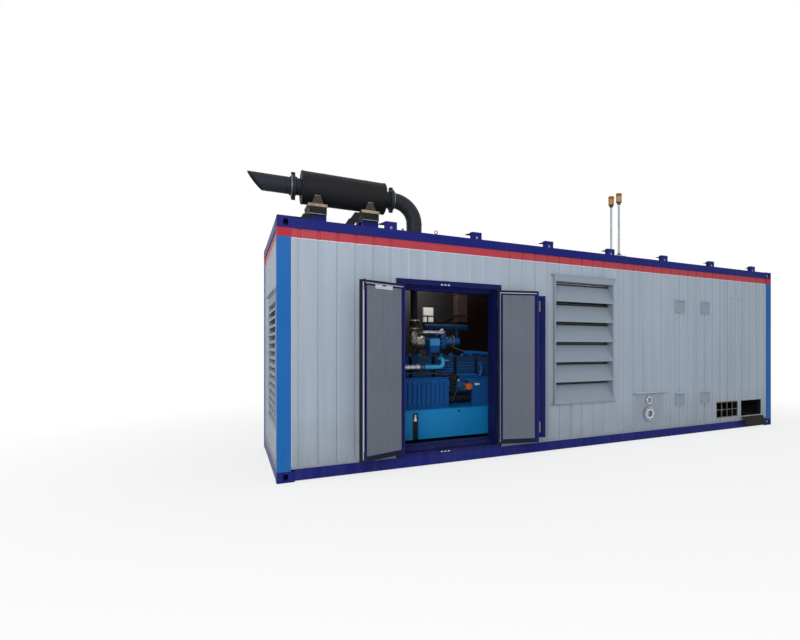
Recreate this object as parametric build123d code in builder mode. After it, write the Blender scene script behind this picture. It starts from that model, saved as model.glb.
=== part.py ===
from build123d import *

import math
import os

# A gas generator set in a steel container, modelled in millimetres.
# X runs along the container, Y from the service side to the back, and Z up.
# The origin is the centre of the foot face of the front left corner casting.

# Container box
length = 8500.0
width = 2438.0
height = 2896.0

# Corner castings with their oval lifting and lashing holes
casting_length = 178.0
casting_width = 162.0
casting_height = 118.0
casting_wall = 28.0
side_hole_long = 80.0
side_hole_short = 51.0
top_hole_long = 124.0
top_hole_short = 63.5

# Steel frame between the castings
foot_rise = 12.5
base_rail_height = 125.0
base_rail_depth = 70.0
top_rail_depth = 70.0
top_rail_drop = 6.0
post_width = 140.0
post_depth = 120.0
joist_count = 9
joist_width = 80.0
joist_height = 90.0
floor_thickness = 24.0
roof_thickness = 40.0
roof_drop = 12.0

# Insulated walls with narrow upright grooves in the outer sheet
wall = 80.0
wall_recess = 12.0
groove_width = 34.0
groove_depth = 9.0
groove_angle = 60.0
groove_pitch = 201.5
groove_start = 225.0
groove_clear = 30.0

# Service doorway, measured from the left end and from the ground
doorway_left = 1296.0
doorway_width = 1419.0
doorway_top = 2310.0
frame_face = 65.0
sill_height = 42.0
stop_lip = 22.0
stop_depth = 30.0

# Door leaves
leaf_gap = 8.0
leaf_end_gap = 15.0
leaf_meeting_gap = 12.0
left_leaf_width = 606.0
leaf_skin = 38.0
leaf_box = 16.0
leaf_box_inset = 48.0
lining_thickness = 3.0
lining_inset = 14.0
seal_width = 26.0
seal_thickness = 8.0
meeting_strip_width = 100.0
meeting_strip_trim = 60.0
meeting_strip_thickness = 22.0
left_open_angle = 157.0
right_open_angle = 163.0

# Lift-off hinges, three to a leaf
hinge_offset = 12.0
knuckle_radius = 11.0
knuckle_height = 55.0
knuckle_gap = 1.0
hinge_pin_length = 99.0
hinge_pin_radius = 6.0
hinge_bore_clearance = 0.4
hinge_strap = 52.0
hinge_plate = 5.0
hinge_end_inset = 190.0
bolt_radius = 9.0
bolt_length = 120.0
bolt_reach = 9.0
bolt_inset = 37.0
bolt_clearance = 0.3
latch_height = 170.0
latch_width = 26.0
latch_thickness = 18.0
latch_end_inset = 60.0

# Air louvre in the service side
louvre_left = 3551.0
louvre_width = 1081.0
louvre_bottom = 660.0
louvre_height = 1850.0
louvre_flange = 45.0
louvre_flange_plate = 4.0
louvre_stand = 42.0
louvre_side = 22.0
louvre_row_count = 6
louvre_fascia = 88.0
blade_thickness = 4.0
blade_lip = 26.0
blade_rise = 0.85

# Air louvres in both ends
end_louvre_first = 156.0
end_louvre_width = 1120.0
end_louvre_bottom = 570.0
end_louvre_height = 1530.0
end_louvre_stand = 16.0
end_louvre_side = 20.0
end_louvre_head = 115.0
end_louvre_rows = 15
end_hood_reach = 30.0
end_hood_over = 20.0
end_hood_plate = 4.0
end_hood_rise = 50.0

# Gas connection plate
panel_left = 5110.0
panel_width = 586.0
panel_bottom = 184.0
panel_height = 554.0
panel_thickness = 6.0
panel_drip = 22.0
panel_drip_over = 60.0
gas_x = 5364.0
gas_z = 416.0
gas_flange_radius = 110.0
gas_flange_thickness = 20.0
gas_stand = 46.0
gas_pipe_radius = 57.0
gas_bore_radius = 51.0
gas_bolt_circle = 180.0
gas_bolt_count = 8
gas_bolt_hole = 18.0
drain_z = 628.0
drain_radius = 66.0
drain_bore_radius = 40.0
drain_stand = 26.0

# Small weather covers on the service side
cover_first = 6082.0
cover_pitch = 607.0
cover_low = 607.0
cover_high = 2155.0
cover_width = 208.0
cover_height = 188.0
cover_stand = 16.0
cover_ledge = 28.0
cover_ledge_plate = 5.0

# Cable outlets at the right end of the service side
grille_from_right = 1530.0
grille_width = 590.0
grille_bottom = 219.0
grille_height = 291.0
grille_columns = 4
grille_rows = 2
grille_bar = 10.0
grille_frame = 18.0
flap_from_right = 857.0
flap_width = 578.0
flap_bottom = 194.0
flap_height = 306.0
flap_thickness = 8.0
flap_reach = 80.0
flap_drop = 30.0
flap_lip = 45.0

# Brackets along the roof edges
bracket_first = 1234.0
bracket_last = 543.0
bracket_count = 7
bracket_width = 140.0
bracket_depth = 60.0
bracket_height = 88.0
bracket_plate = 8.0
bracket_plate_width = 70.0
bracket_plate_height = 46.0

# Exhaust silencer above the roof
exhaust_x = 1900.0
silencer_left = 371.0
silencer_length = 1089.0
silencer_radius = 216.0
silencer_edge = 26.0
silencer_axis = 3585.0
pipe_radius = 109.5
pipe_wall = 4.0
neck_length = 72.0
front_neck_length = 97.0
clamp_radius = 146.0
clamp_width = 42.0
tail_tip = -250.0
tail_bevel_angle = 39.0
elbow_radius = 305.0
coupling_radius = 113.0
coupling_height = 10.0
roof_collar_radius = 175.0
roof_collar_height = 60.0
pipe_sleeve = 4.0

# Silencer supports: blue posts, a cross beam and a cradle
support_first = 554.0
support_pitch = 674.0
support_spread = 300.0
support_post_width = 215.0
support_post_depth = 80.0
support_beam_height = 100.0
support_beam_length = 440.0
cradle_plate = 36.0
cradle_plate_width = 230.0
cradle_base = 150.0
cradle_top = 64.0
cradle_length = 400.0
cradle_height = 110.0
cradle_clear = 0.3

# Beacon lights on masts
mast_x = 4800.0
mast_first_y = 60.0
mast_pitch = 185.0
mast_count = 2
mast_radius = 17.0
mast_height = 790.0
mast_foot_radius = 45.0
mast_foot_height = 10.0
mast_plate_length = 190.0
mast_plate_width = 330.0
lamp_neck_radius = 26.0
lamp_neck_height = 30.0
lamp_radius = 42.0
lamp_height = 105.0
lamp_cap_radius = 46.0
lamp_cap_height = 34.0

# Engine behind the doorway
skid_left = 1250.0
skid_length = 2650.0
skid_front = 650.0
skid_width = 1138.0
skid_height = 400.0
skid_foot_height = 58.0
skid_foot_length = 160.0
skid_slot_x = 1743.0
skid_slot_width = 70.0
skid_hole_x = 2375.0
skid_hole_radius = 17.0
skid_hole_drop = 46.0
skid_hole_depth = 60.0
block_left = 1400.0
block_length = 2000.0
block_front = 810.0
block_width = 818.0
block_height = 430.0
block_rib_pitch = 66.0
block_rib_width = 30.0
block_rib_depth = 30.0
block_rib_height = 320.0
block_rib_bottom = 40.0
ribbed_length = 860.0
starter_left = 880.0
starter_room = 370.0
starter_room_height = 230.0
starter_room_depth = 170.0
starter_radius = 68.0
head_count = 6
head_width = 250.0
head_height = 290.0
head_gap = 44.0
head_inset = 50.0
head_fillet = 28.0
manifold_left = 2054.0
manifold_length = 680.0
manifold_z = 1779.0
manifold_radius = 45.0
manifold_branch_radius = 28.0
manifold_feed_y = 1186.0
manifold_drop_x = 2569.0
turbo_left = 1830.0
turbo_length = 230.0
turbo_radius = 125.0
turbo_z = 1565.0
turbo_pedestal = 150.0
bellows_radius = 64.0
bellows_bottom = 1745.0
bellows_height = 115.0
riser_radius = 52.0
reducer_bottom = 2500.0
reducer_height = 160.0
mixer_box_left = 2075.0
mixer_box_length = 140.0
mixer_box_depth = 210.0
mixer_box_bottom = 1400.0
mixer_box_height = 200.0
mixer_disc_left = 2285.0
mixer_disc_length = 70.0
mixer_disc_radius = 132.0
mixer_tube_radius = 60.0
mixer_tube_end = 2600.0
gas_train_left = 1450.0
gas_train_right = 2160.0
gas_train_y = 720.0
gas_train_z = 1200.0
gas_train_rise = 110.0
gas_train_radius = 28.0
gas_train_bend = 48.0
filter_x = 2570.0
filter_z = 905.0
filter_radius = 48.0
filter_length = 70.0
control_box_x = 2400.0
control_box_z = 1905.0
control_box_width = 165.0
control_box_depth = 70.0
control_box_heights = (90.0, 140.0)
control_box_gap = 18.0

# Places that follow from the sizes
x_left = -casting_length / 2
x_right = x_left + length
y_front = -casting_width / 2
y_back = y_front + width
y_middle = (y_front + y_back) / 2
rail_top = foot_rise + base_rail_height
top_rail_top = height - top_rail_drop
top_rail_bottom = height - casting_height
wall_bottom = rail_top
wall_top = top_rail_bottom
frame_depth = wall_recess + wall
floor_top = rail_top + floor_thickness
clad_left = x_left + post_width
clad_right = x_right - post_width
clad_front = y_front + wall_recess
clad_back = y_back - wall_recess
frame_left = x_left + doorway_left
frame_right = frame_left + doorway_width
jamb_left = frame_left + frame_face
jamb_right = frame_right - frame_face
head_bottom = doorway_top - frame_face
sill_top = rail_top + sill_height
louvre_x = x_left + louvre_left
louvre_x_end = louvre_x + louvre_width
grille_x = x_right - grille_from_right
flap_x = x_right - flap_from_right
roof_top = top_rail_top - roof_drop

low = (Align.MIN, Align.MIN, Align.MIN)
seated = (Align.CENTER, Align.CENTER, Align.MIN)


def block(x0, x1, y0, y1, z0, z1, mode=Mode.ADD):
    """Box between two opposite corners."""
    with Locations((x0, y0, z0)):
        Box(x1 - x0, y1 - y0, z1 - z0, align=low, mode=mode)


def groove_places(x0, x1):
    """X of every wall groove that lies clear of both ends of a wall piece."""
    count = int((length - groove_start) / groove_pitch) + 1
    places = [x_left + groove_start + i * groove_pitch for i in range(count)]
    return [x for x in places if x0 + groove_clear < x < x1 - groove_clear]


def end_groove_places():
    """Y of every groove of an end wall, set out from its middle."""
    half = int((width / 2 - post_depth - groove_clear) / groove_pitch)
    return [y_middle + i * groove_pitch for i in range(-half, half + 1)]


def side_wall(x0, x1, z0, z1, y0, outward, grooved=True):
    """Wall slab along X with its outer sheet at y0; outward is -1 or 1."""
    with BuildSketch(Plane.XY.offset(z0)) as plan:
        with Locations((x0, y0 if outward < 0 else y0 - wall)):
            Rectangle(x1 - x0, wall, align=(Align.MIN, Align.MIN))
        if grooved:
            with Locations(*[(x, y0) for x in groove_places(x0, x1)]):
                Trapezoid(
                    groove_width,
                    groove_depth,
                    groove_angle,
                    rotation=0 if outward < 0 else 180,
                    align=(Align.CENTER, Align.MIN),
                    mode=Mode.SUBTRACT,
                )
    extrude(plan.sketch, amount=z1 - z0)


def end_wall(x0, outward):
    """End wall slab with its outer sheet at x0; outward is -1 or 1."""
    y0 = y_front + post_depth
    y1 = y_back - post_depth
    with BuildSketch(Plane.XY.offset(wall_bottom)) as plan:
        with Locations((x0 if outward < 0 else x0 - wall, y0)):
            Rectangle(wall, y1 - y0, align=(Align.MIN, Align.MIN))
        with Locations(*[(x0, y) for y in end_groove_places()]):
            Trapezoid(
                groove_width,
                groove_depth,
                groove_angle,
                rotation=90 * outward,
                align=(Align.CENTER, Align.MIN),
                mode=Mode.SUBTRACT,
            )
    extrude(plan.sketch, amount=wall_top - wall_bottom)
    first = y_front + end_louvre_first
    top = end_louvre_bottom + end_louvre_height
    inner = (x0, x0 + wall) if outward < 0 else (x0 - wall, x0)
    block(
        inner[0],
        inner[1],
        first,
        first + end_louvre_width,
        end_louvre_bottom,
        top,
        mode=Mode.SUBTRACT,
    )


os.makedirs("parts", exist_ok=True)

# Steel frame
with BuildPart() as base_rails:
    for y0 in (y_front, y_back - base_rail_depth):
        block(
            x_left + casting_length,
            x_right - casting_length,
            y0,
            y0 + base_rail_depth,
            foot_rise,
            rail_top,
        )
    for x0 in (x_left, x_right - base_rail_depth):
        block(
            x0,
            x0 + base_rail_depth,
            y_front + casting_width,
            y_back - casting_width,
            foot_rise,
            rail_top,
        )
base_rails.part.label = "base_rails"
export_step(base_rails.part, "parts/base_rails.step")

with BuildPart() as floor_joists:
    joist_span = length - 2 * casting_length - 2 * base_rail_depth
    joist_step = joist_span / joist_count
    for i in range(joist_count):
        x0 = x_left + casting_length + base_rail_depth + (i + 0.5) * joist_step
        block(
            x0 - joist_width / 2,
            x0 + joist_width / 2,
            y_front + base_rail_depth,
            y_back - base_rail_depth,
            rail_top - joist_height,
            rail_top,
        )
floor_joists.part.label = "floor_joists"
export_step(floor_joists.part, "parts/floor_joists.step")

with BuildPart() as floor_deck:
    block(
        clad_left,
        clad_right,
        clad_front + wall,
        clad_back - wall,
        rail_top,
        floor_top,
    )
floor_deck.part.label = "floor_deck"
export_step(floor_deck.part, "parts/floor_deck.step")


def corner_casting(side_x, side_y, z0, top_hole):
    """Hollow corner block; side_x and side_y give the way to its outer faces."""
    reach_x = length / 2 - casting_length / 2
    reach_y = width / 2 - casting_width / 2
    x0 = x_left + length / 2 + side_x * reach_x
    y0 = y_middle + side_y * reach_y
    z_mid = z0 + casting_height / 2
    with Locations((x0, y0, z_mid)):
        Box(casting_length, casting_width, casting_height)
        Box(
            casting_length - 2 * casting_wall,
            casting_width - 2 * casting_wall,
            casting_height - 2 * casting_wall,
            mode=Mode.SUBTRACT,
        )
    side_plane = Plane(
        origin=(x0, y0 + side_y * casting_width / 2, z_mid),
        x_dir=(1, 0, 0),
        z_dir=(0, -side_y, 0),
    )
    with BuildSketch(side_plane) as side_hole:
        SlotOverall(side_hole_long, side_hole_short, rotation=90)
    extrude(side_hole.sketch, amount=casting_wall, mode=Mode.SUBTRACT)
    end_plane = Plane(
        origin=(x0 + side_x * casting_length / 2, y0, z_mid),
        x_dir=(0, 1, 0),
        z_dir=(-side_x, 0, 0),
    )
    with BuildSketch(end_plane) as end_hole:
        SlotOverall(side_hole_long, side_hole_short, rotation=90)
    extrude(end_hole.sketch, amount=casting_wall, mode=Mode.SUBTRACT)
    if top_hole:
        with BuildSketch(Plane.XY.offset(z0 + casting_height)) as lift_hole:
            with Locations((x0, y0)):
                SlotOverall(top_hole_long, top_hole_short)
        extrude(lift_hole.sketch, amount=-casting_wall, mode=Mode.SUBTRACT)


with BuildPart() as bottom_castings:
    for side_x in (-1, 1):
        for side_y in (-1, 1):
            corner_casting(side_x, side_y, 0, top_hole=False)
bottom_castings.part.label = "bottom_castings"
export_step(bottom_castings.part, "parts/bottom_castings.step")

with BuildPart() as top_castings:
    for side_x in (-1, 1):
        for side_y in (-1, 1):
            corner_casting(side_x, side_y, height - casting_height, top_hole=True)
top_castings.part.label = "top_castings"
export_step(top_castings.part, "parts/top_castings.step")

with BuildPart() as corner_posts:
    for x0 in (x_left, x_right - post_width):
        for y0 in (y_front, y_back - post_depth):
            block(
                x0,
                x0 + post_width,
                y0,
                y0 + post_depth,
                casting_height,
                height - casting_height,
            )
corner_posts.part.label = "corner_posts"
export_step(corner_posts.part, "parts/corner_posts.step")

with BuildPart() as top_rails:
    for y0 in (y_front, y_back - top_rail_depth):
        block(
            x_left + casting_length,
            x_right - casting_length,
            y0,
            y0 + top_rail_depth,
            top_rail_bottom,
            top_rail_top,
        )
    for x0 in (x_left, x_right - top_rail_depth):
        block(
            x0,
            x0 + top_rail_depth,
            y_front + casting_width,
            y_back - casting_width,
            top_rail_bottom,
            top_rail_top,
        )
top_rails.part.label = "top_rails"
export_step(top_rails.part, "parts/top_rails.step")

with BuildPart() as roof_panel:
    block(
        x_left + casting_length,
        x_right - casting_length,
        y_front + top_rail_depth,
        y_back - top_rail_depth,
        roof_top - roof_thickness,
        roof_top,
    )
    for x0, x1 in (
        (x_left + top_rail_depth, x_left + casting_length),
        (x_right - casting_length, x_right - top_rail_depth),
    ):
        block(
            x0,
            x1,
            y_front + casting_width,
            y_back - casting_width,
            roof_top - roof_thickness,
            roof_top,
        )
    with Locations((x_left + exhaust_x, y_middle, roof_top - roof_thickness)):
        Cylinder(
            pipe_radius + pipe_sleeve,
            roof_thickness,
            align=seated,
            mode=Mode.SUBTRACT,
        )
roof_panel.part.label = "roof_panel"
export_step(roof_panel.part, "parts/roof_panel.step")

# Walls of the service side, in pieces beside and over its openings
with BuildPart() as front_wall_left:
    side_wall(clad_left, frame_left, wall_bottom, wall_top, clad_front, -1)
front_wall_left.part.label = "front_wall_left"
export_step(front_wall_left.part, "parts/front_wall_left.step")

with BuildPart() as front_wall_over_door:
    side_wall(frame_left, frame_right, doorway_top, wall_top, clad_front, -1, False)
front_wall_over_door.part.label = "front_wall_over_door"
export_step(front_wall_over_door.part, "parts/front_wall_over_door.step")

with BuildPart() as front_wall_middle:
    side_wall(frame_right, louvre_x, wall_bottom, wall_top, clad_front, -1)
front_wall_middle.part.label = "front_wall_middle"
export_step(front_wall_middle.part, "parts/front_wall_middle.step")

with BuildPart() as front_wall_louvre_bay:
    louvre_top = louvre_bottom + louvre_height
    side_wall(louvre_x, louvre_x_end, wall_bottom, louvre_bottom, clad_front, -1)
    side_wall(louvre_x, louvre_x_end, louvre_top, wall_top, clad_front, -1)
front_wall_louvre_bay.part.label = "front_wall_louvre_bay"
export_step(front_wall_louvre_bay.part, "parts/front_wall_louvre_bay.step")

with BuildPart() as front_wall_right:
    side_wall(louvre_x_end, clad_right, wall_bottom, wall_top, clad_front, -1)
    for x0, across, z0, up in (
        (grille_x, grille_width, grille_bottom, grille_height),
        (flap_x, flap_width, flap_bottom, flap_height),
    ):
        block(
            x0,
            x0 + across,
            clad_front,
            clad_front + wall,
            z0,
            z0 + up,
            mode=Mode.SUBTRACT,
        )
front_wall_right.part.label = "front_wall_right"
export_step(front_wall_right.part, "parts/front_wall_right.step")

with BuildPart() as rear_wall:
    side_wall(clad_left, clad_right, wall_bottom, wall_top, clad_back, 1)
rear_wall.part.label = "rear_wall"
export_step(rear_wall.part, "parts/rear_wall.step")

with BuildPart() as left_end_wall:
    end_wall(x_left + wall_recess, -1)
left_end_wall.part.label = "left_end_wall"
export_step(left_end_wall.part, "parts/left_end_wall.step")

with BuildPart() as right_end_wall:
    end_wall(x_right - wall_recess, 1)
right_end_wall.part.label = "right_end_wall"
export_step(right_end_wall.part, "parts/right_end_wall.step")

# Doorway frame with a stop lip all round
with BuildPart() as door_frame:
    block(frame_left, frame_right, y_front, y_front + frame_depth, rail_top, doorway_top)
    block(
        jamb_left + stop_lip,
        jamb_right - stop_lip,
        y_front,
        y_front + frame_depth,
        sill_top,
        head_bottom - stop_lip,
        mode=Mode.SUBTRACT,
    )
    block(
        jamb_left,
        jamb_right,
        y_front,
        y_front + frame_depth - stop_depth,
        sill_top,
        head_bottom,
        mode=Mode.SUBTRACT,
    )
door_frame.part.label = "door_frame"
export_step(door_frame.part, "parts/door_frame.step")

# Fixed halves of the hinges, with their pins
leaf_bottom = sill_top + leaf_end_gap
leaf_top = head_bottom - leaf_end_gap
leaf_height = leaf_top - leaf_bottom
hinge_y = y_front - hinge_offset
left_hinge_x = jamb_left + leaf_gap / 2
right_hinge_x = jamb_right - leaf_gap / 2
hinge_step = (leaf_height - 2 * hinge_end_inset) / 2
hinge_heights = [leaf_bottom + hinge_end_inset + i * hinge_step for i in range(3)]

with BuildPart() as door_hinge_posts:
    for x0, way in ((left_hinge_x, -1), (right_hinge_x, 1)):
        for z0 in hinge_heights:
            with Locations((x0, hinge_y, z0 - knuckle_height)):
                Cylinder(knuckle_radius, knuckle_height, align=seated)
                Cylinder(hinge_pin_radius, hinge_pin_length, align=seated)
            plate_ends = sorted((x0, x0 + way * hinge_strap))
            block(
                plate_ends[0],
                plate_ends[1],
                y_front - hinge_plate,
                y_front,
                z0 - knuckle_height,
                z0,
            )
door_hinge_posts.part.label = "door_hinge_posts"
export_step(door_hinge_posts.part, "parts/door_hinge_posts.step")

# Door leaves, each drawn along its own plane from the hinge to the free edge
left_plane = Plane(
    origin=(left_hinge_x, hinge_y, 0),
    x_dir=Vector(1, 0, 0).rotate(Axis.Z, -left_open_angle),
    z_dir=(0, 0, 1),
)
right_plane = Plane(
    origin=(right_hinge_x, hinge_y, 0),
    x_dir=Vector(-1, 0, 0).rotate(Axis.Z, right_open_angle),
    z_dir=(0, 0, 1),
)
clear_width = jamb_right - jamb_left
right_leaf_width = clear_width - 2 * leaf_gap - leaf_meeting_gap - left_leaf_width
leaf_start = leaf_gap / 2
skin_inner = hinge_offset + leaf_skin


def leaf_block(inward, x0, x1, y0, y1, z0, z1, mode=Mode.ADD):
    """Box of a leaf; y counts from the hinge line towards the room."""
    ys = sorted((inward * y0, inward * y1))
    block(x0, x1, ys[0], ys[1], z0, z1, mode=mode)


def leaf_panel(inward, panel_width_across):
    """Outer tray and the raised box that carries the lining."""
    x1 = leaf_start + panel_width_across
    leaf_block(inward, leaf_start, x1, hinge_offset, skin_inner, leaf_bottom, leaf_top)
    leaf_block(
        inward,
        leaf_start + leaf_box_inset,
        x1 - leaf_box_inset,
        skin_inner,
        skin_inner + leaf_box,
        leaf_bottom + leaf_box_inset,
        leaf_top - leaf_box_inset,
    )


def leaf_lining(inward, panel_width_across):
    """Sound lining plate on the raised box."""
    inset = leaf_box_inset + lining_inset
    leaf_block(
        inward,
        leaf_start + inset,
        leaf_start + panel_width_across - inset,
        skin_inner + leaf_box,
        skin_inner + leaf_box + lining_thickness,
        leaf_bottom + inset,
        leaf_top - inset,
    )


def leaf_seal(inward, panel_width_across):
    """Rubber seal round the rim of the tray."""
    x1 = leaf_start + panel_width_across
    leaf_block(
        inward,
        leaf_start,
        x1,
        skin_inner,
        skin_inner + seal_thickness,
        leaf_bottom,
        leaf_top,
    )
    leaf_block(
        inward,
        leaf_start + seal_width,
        x1 - seal_width,
        skin_inner,
        skin_inner + seal_thickness,
        leaf_bottom + seal_width,
        leaf_top - seal_width,
        mode=Mode.SUBTRACT,
    )


def leaf_hinges(inward):
    """Upper knuckles of the hinges, each with the strap that holds the leaf."""
    for z0 in hinge_heights:
        z_low = z0 + knuckle_gap
        with Locations((0, 0, z_low)):
            Cylinder(knuckle_radius, knuckle_height, align=seated)
        leaf_block(
            inward,
            0,
            hinge_strap,
            hinge_offset - hinge_plate,
            hinge_offset,
            z_low,
            z_low + knuckle_height,
        )
        with Locations((0, 0, z_low)):
            Cylinder(
                hinge_pin_radius + hinge_bore_clearance,
                knuckle_height,
                align=seated,
                mode=Mode.SUBTRACT,
            )


with BuildPart(left_plane) as left_door_panel:
    leaf_panel(1, left_leaf_width)
left_door_panel.part.label = "left_door_panel"
export_step(left_door_panel.part, "parts/left_door_panel.step")

with BuildPart(left_plane) as left_door_lining:
    leaf_lining(1, left_leaf_width)
left_door_lining.part.label = "left_door_lining"
export_step(left_door_lining.part, "parts/left_door_lining.step")

bolt_x = leaf_start + left_leaf_width - bolt_inset
bolt_ends = (leaf_bottom - bolt_reach, leaf_top + bolt_reach - bolt_length)

with BuildPart(left_plane) as left_door_seal:
    leaf_seal(1, left_leaf_width)
    for z0 in bolt_ends:
        leaf_block(
            1,
            bolt_x - bolt_radius - bolt_clearance,
            bolt_x + bolt_radius + bolt_clearance,
            skin_inner,
            skin_inner + seal_thickness,
            z0,
            z0 + bolt_length,
            mode=Mode.SUBTRACT,
        )
left_door_seal.part.label = "left_door_seal"
export_step(left_door_seal.part, "parts/left_door_seal.step")

with BuildPart(left_plane) as left_door_hinges:
    leaf_hinges(1)
left_door_hinges.part.label = "left_door_hinges"
export_step(left_door_hinges.part, "parts/left_door_hinges.step")

with BuildPart(left_plane) as left_door_bolts:
    for z0 in bolt_ends:
        with Locations((bolt_x, skin_inner + bolt_radius, z0)):
            Cylinder(bolt_radius, bolt_length, align=seated)
left_door_bolts.part.label = "left_door_bolts"
export_step(left_door_bolts.part, "parts/left_door_bolts.step")

right_panel_width = right_leaf_width - meeting_strip_width
with BuildPart(right_plane) as right_door_panel:
    leaf_panel(-1, right_panel_width)
    leaf_block(
        -1,
        leaf_start + right_panel_width,
        leaf_start + right_leaf_width,
        hinge_offset,
        hinge_offset + meeting_strip_thickness,
        leaf_bottom + meeting_strip_trim,
        leaf_top - meeting_strip_trim,
    )
right_door_panel.part.label = "right_door_panel"
export_step(right_door_panel.part, "parts/right_door_panel.step")

with BuildPart(right_plane) as right_door_lining:
    leaf_lining(-1, right_panel_width)
right_door_lining.part.label = "right_door_lining"
export_step(right_door_lining.part, "parts/right_door_lining.step")

with BuildPart(right_plane) as right_door_seal:
    leaf_seal(-1, right_panel_width)
right_door_seal.part.label = "right_door_seal"
export_step(right_door_seal.part, "parts/right_door_seal.step")

with BuildPart(right_plane) as right_door_hinges:
    leaf_hinges(-1)
right_door_hinges.part.label = "right_door_hinges"
export_step(right_door_hinges.part, "parts/right_door_hinges.step")

with BuildPart(right_plane) as right_door_latches:
    latch_x = leaf_start + right_panel_width
    latch_low = leaf_bottom + meeting_strip_trim + latch_end_inset
    latch_high = leaf_top - meeting_strip_trim - latch_end_inset - latch_height
    for z0 in (latch_low, latch_high):
        leaf_block(
            -1,
            latch_x,
            latch_x + latch_width,
            hinge_offset + meeting_strip_thickness,
            hinge_offset + meeting_strip_thickness + latch_thickness,
            z0,
            z0 + latch_height,
        )
right_door_latches.part.label = "right_door_latches"
export_step(right_door_latches.part, "parts/right_door_latches.step")

# Louvres with sloped blades, each blade with an upright lip in front
def blade_points(z0, pitch, depth):
    """Outline of one blade, as pairs of depth behind the lip and height."""
    return [
        (0, z0),
        (blade_thickness, z0),
        (blade_thickness, z0 + blade_lip),
        (depth, z0 + blade_rise * pitch - blade_thickness),
        (depth, z0 + blade_rise * pitch),
        (blade_thickness, z0 + blade_lip + blade_thickness),
        (0, z0 + blade_lip + blade_thickness),
    ]


louvre_top = louvre_bottom + louvre_height
louvre_face = clad_front - louvre_stand
louvre_room = louvre_height - louvre_fascia - louvre_side
louvre_pitch = louvre_room / louvre_row_count
with BuildPart() as front_louvre:
    block(
        louvre_x,
        louvre_x_end,
        louvre_face,
        clad_front + wall,
        louvre_bottom,
        louvre_top,
    )
    block(
        louvre_x + louvre_side,
        louvre_x_end - louvre_side,
        louvre_face,
        clad_front + wall,
        louvre_bottom + louvre_side,
        louvre_top - louvre_fascia,
        mode=Mode.SUBTRACT,
    )
    for i in range(louvre_row_count):
        z0 = louvre_bottom + louvre_side + i * louvre_pitch
        outline = blade_points(z0, louvre_pitch, louvre_stand + wall)
        with BuildSketch(Plane.YZ.offset(louvre_x + louvre_side)):
            with BuildLine():
                Polyline(*[(louvre_face + y, z) for y, z in outline], close=True)
            make_face()
        extrude(amount=louvre_width - 2 * louvre_side)
    for z0 in (louvre_bottom - louvre_flange_plate, louvre_top):
        block(
            louvre_x - louvre_flange,
            louvre_x_end + louvre_flange,
            louvre_face - louvre_flange_plate,
            clad_front,
            z0,
            z0 + louvre_flange_plate,
        )
front_louvre.part.label = "front_louvre"
export_step(front_louvre.part, "parts/front_louvre.step")

end_louvre_top = end_louvre_bottom + end_louvre_height
end_room = end_louvre_height - end_louvre_side - end_louvre_head
end_pitch = end_room / end_louvre_rows
end_depth = end_louvre_stand + wall
with BuildPart() as end_louvres:
    for face, way in ((x_left + wall_recess, 1), (x_right - wall_recess, -1)):
        outer = face - way * end_louvre_stand
        xs = sorted((outer, outer + way * end_depth))
        y0 = y_front + end_louvre_first
        y1 = y0 + end_louvre_width
        block(xs[0], xs[1], y0, y1, end_louvre_bottom, end_louvre_top)
        block(
            xs[0],
            xs[1],
            y0 + end_louvre_side,
            y1 - end_louvre_side,
            end_louvre_bottom + end_louvre_side,
            end_louvre_top - end_louvre_head,
            mode=Mode.SUBTRACT,
        )
        for i in range(end_louvre_rows):
            z0 = end_louvre_bottom + end_louvre_side + i * end_pitch
            outline = blade_points(z0, end_pitch, end_depth)
            with BuildSketch(Plane.XZ.offset(-y1 + end_louvre_side)):
                with BuildLine():
                    Polyline(*[(outer + way * x, z) for x, z in outline], close=True)
                make_face()
            extrude(amount=end_louvre_width - 2 * end_louvre_side)
        lip = outer - way * end_hood_reach
        with BuildSketch(Plane.XZ.offset(-y1 - end_hood_over)):
            with BuildLine():
                Polyline(
                    (face, end_louvre_top),
                    (face, end_louvre_top + end_hood_rise),
                    (lip, end_louvre_top + end_hood_plate),
                    (lip, end_louvre_top),
                    close=True,
                )
            make_face()
        extrude(amount=end_louvre_width + 2 * end_hood_over)
end_louvres.part.label = "end_louvres"
export_step(end_louvres.part, "parts/end_louvres.step")

# Gas connection plate and the flange through it
panel_x = x_left + panel_left
panel_top = panel_bottom + panel_height
panel_face = clad_front - panel_thickness
flange_face = clad_front - gas_stand
with BuildPart() as connection_panel:
    block(
        panel_x,
        panel_x + panel_width,
        panel_face,
        clad_front,
        panel_bottom,
        panel_top,
    )
    block(
        panel_x - panel_drip_over,
        panel_x + panel_width + panel_drip_over,
        clad_front - panel_drip,
        clad_front,
        panel_top,
        panel_top + panel_thickness,
    )
    with Locations((x_left + gas_x, clad_front, gas_z)):
        Cylinder(
            gas_pipe_radius + pipe_sleeve,
            3 * panel_thickness,
            rotation=(90, 0, 0),
            mode=Mode.SUBTRACT,
        )
    with Locations((x_left + gas_x, clad_front, drain_z)):
        Cylinder(
            drain_bore_radius + pipe_sleeve,
            3 * panel_thickness,
            rotation=(90, 0, 0),
            mode=Mode.SUBTRACT,
        )
connection_panel.part.label = "connection_panel"
export_step(connection_panel.part, "parts/connection_panel.step")

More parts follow.
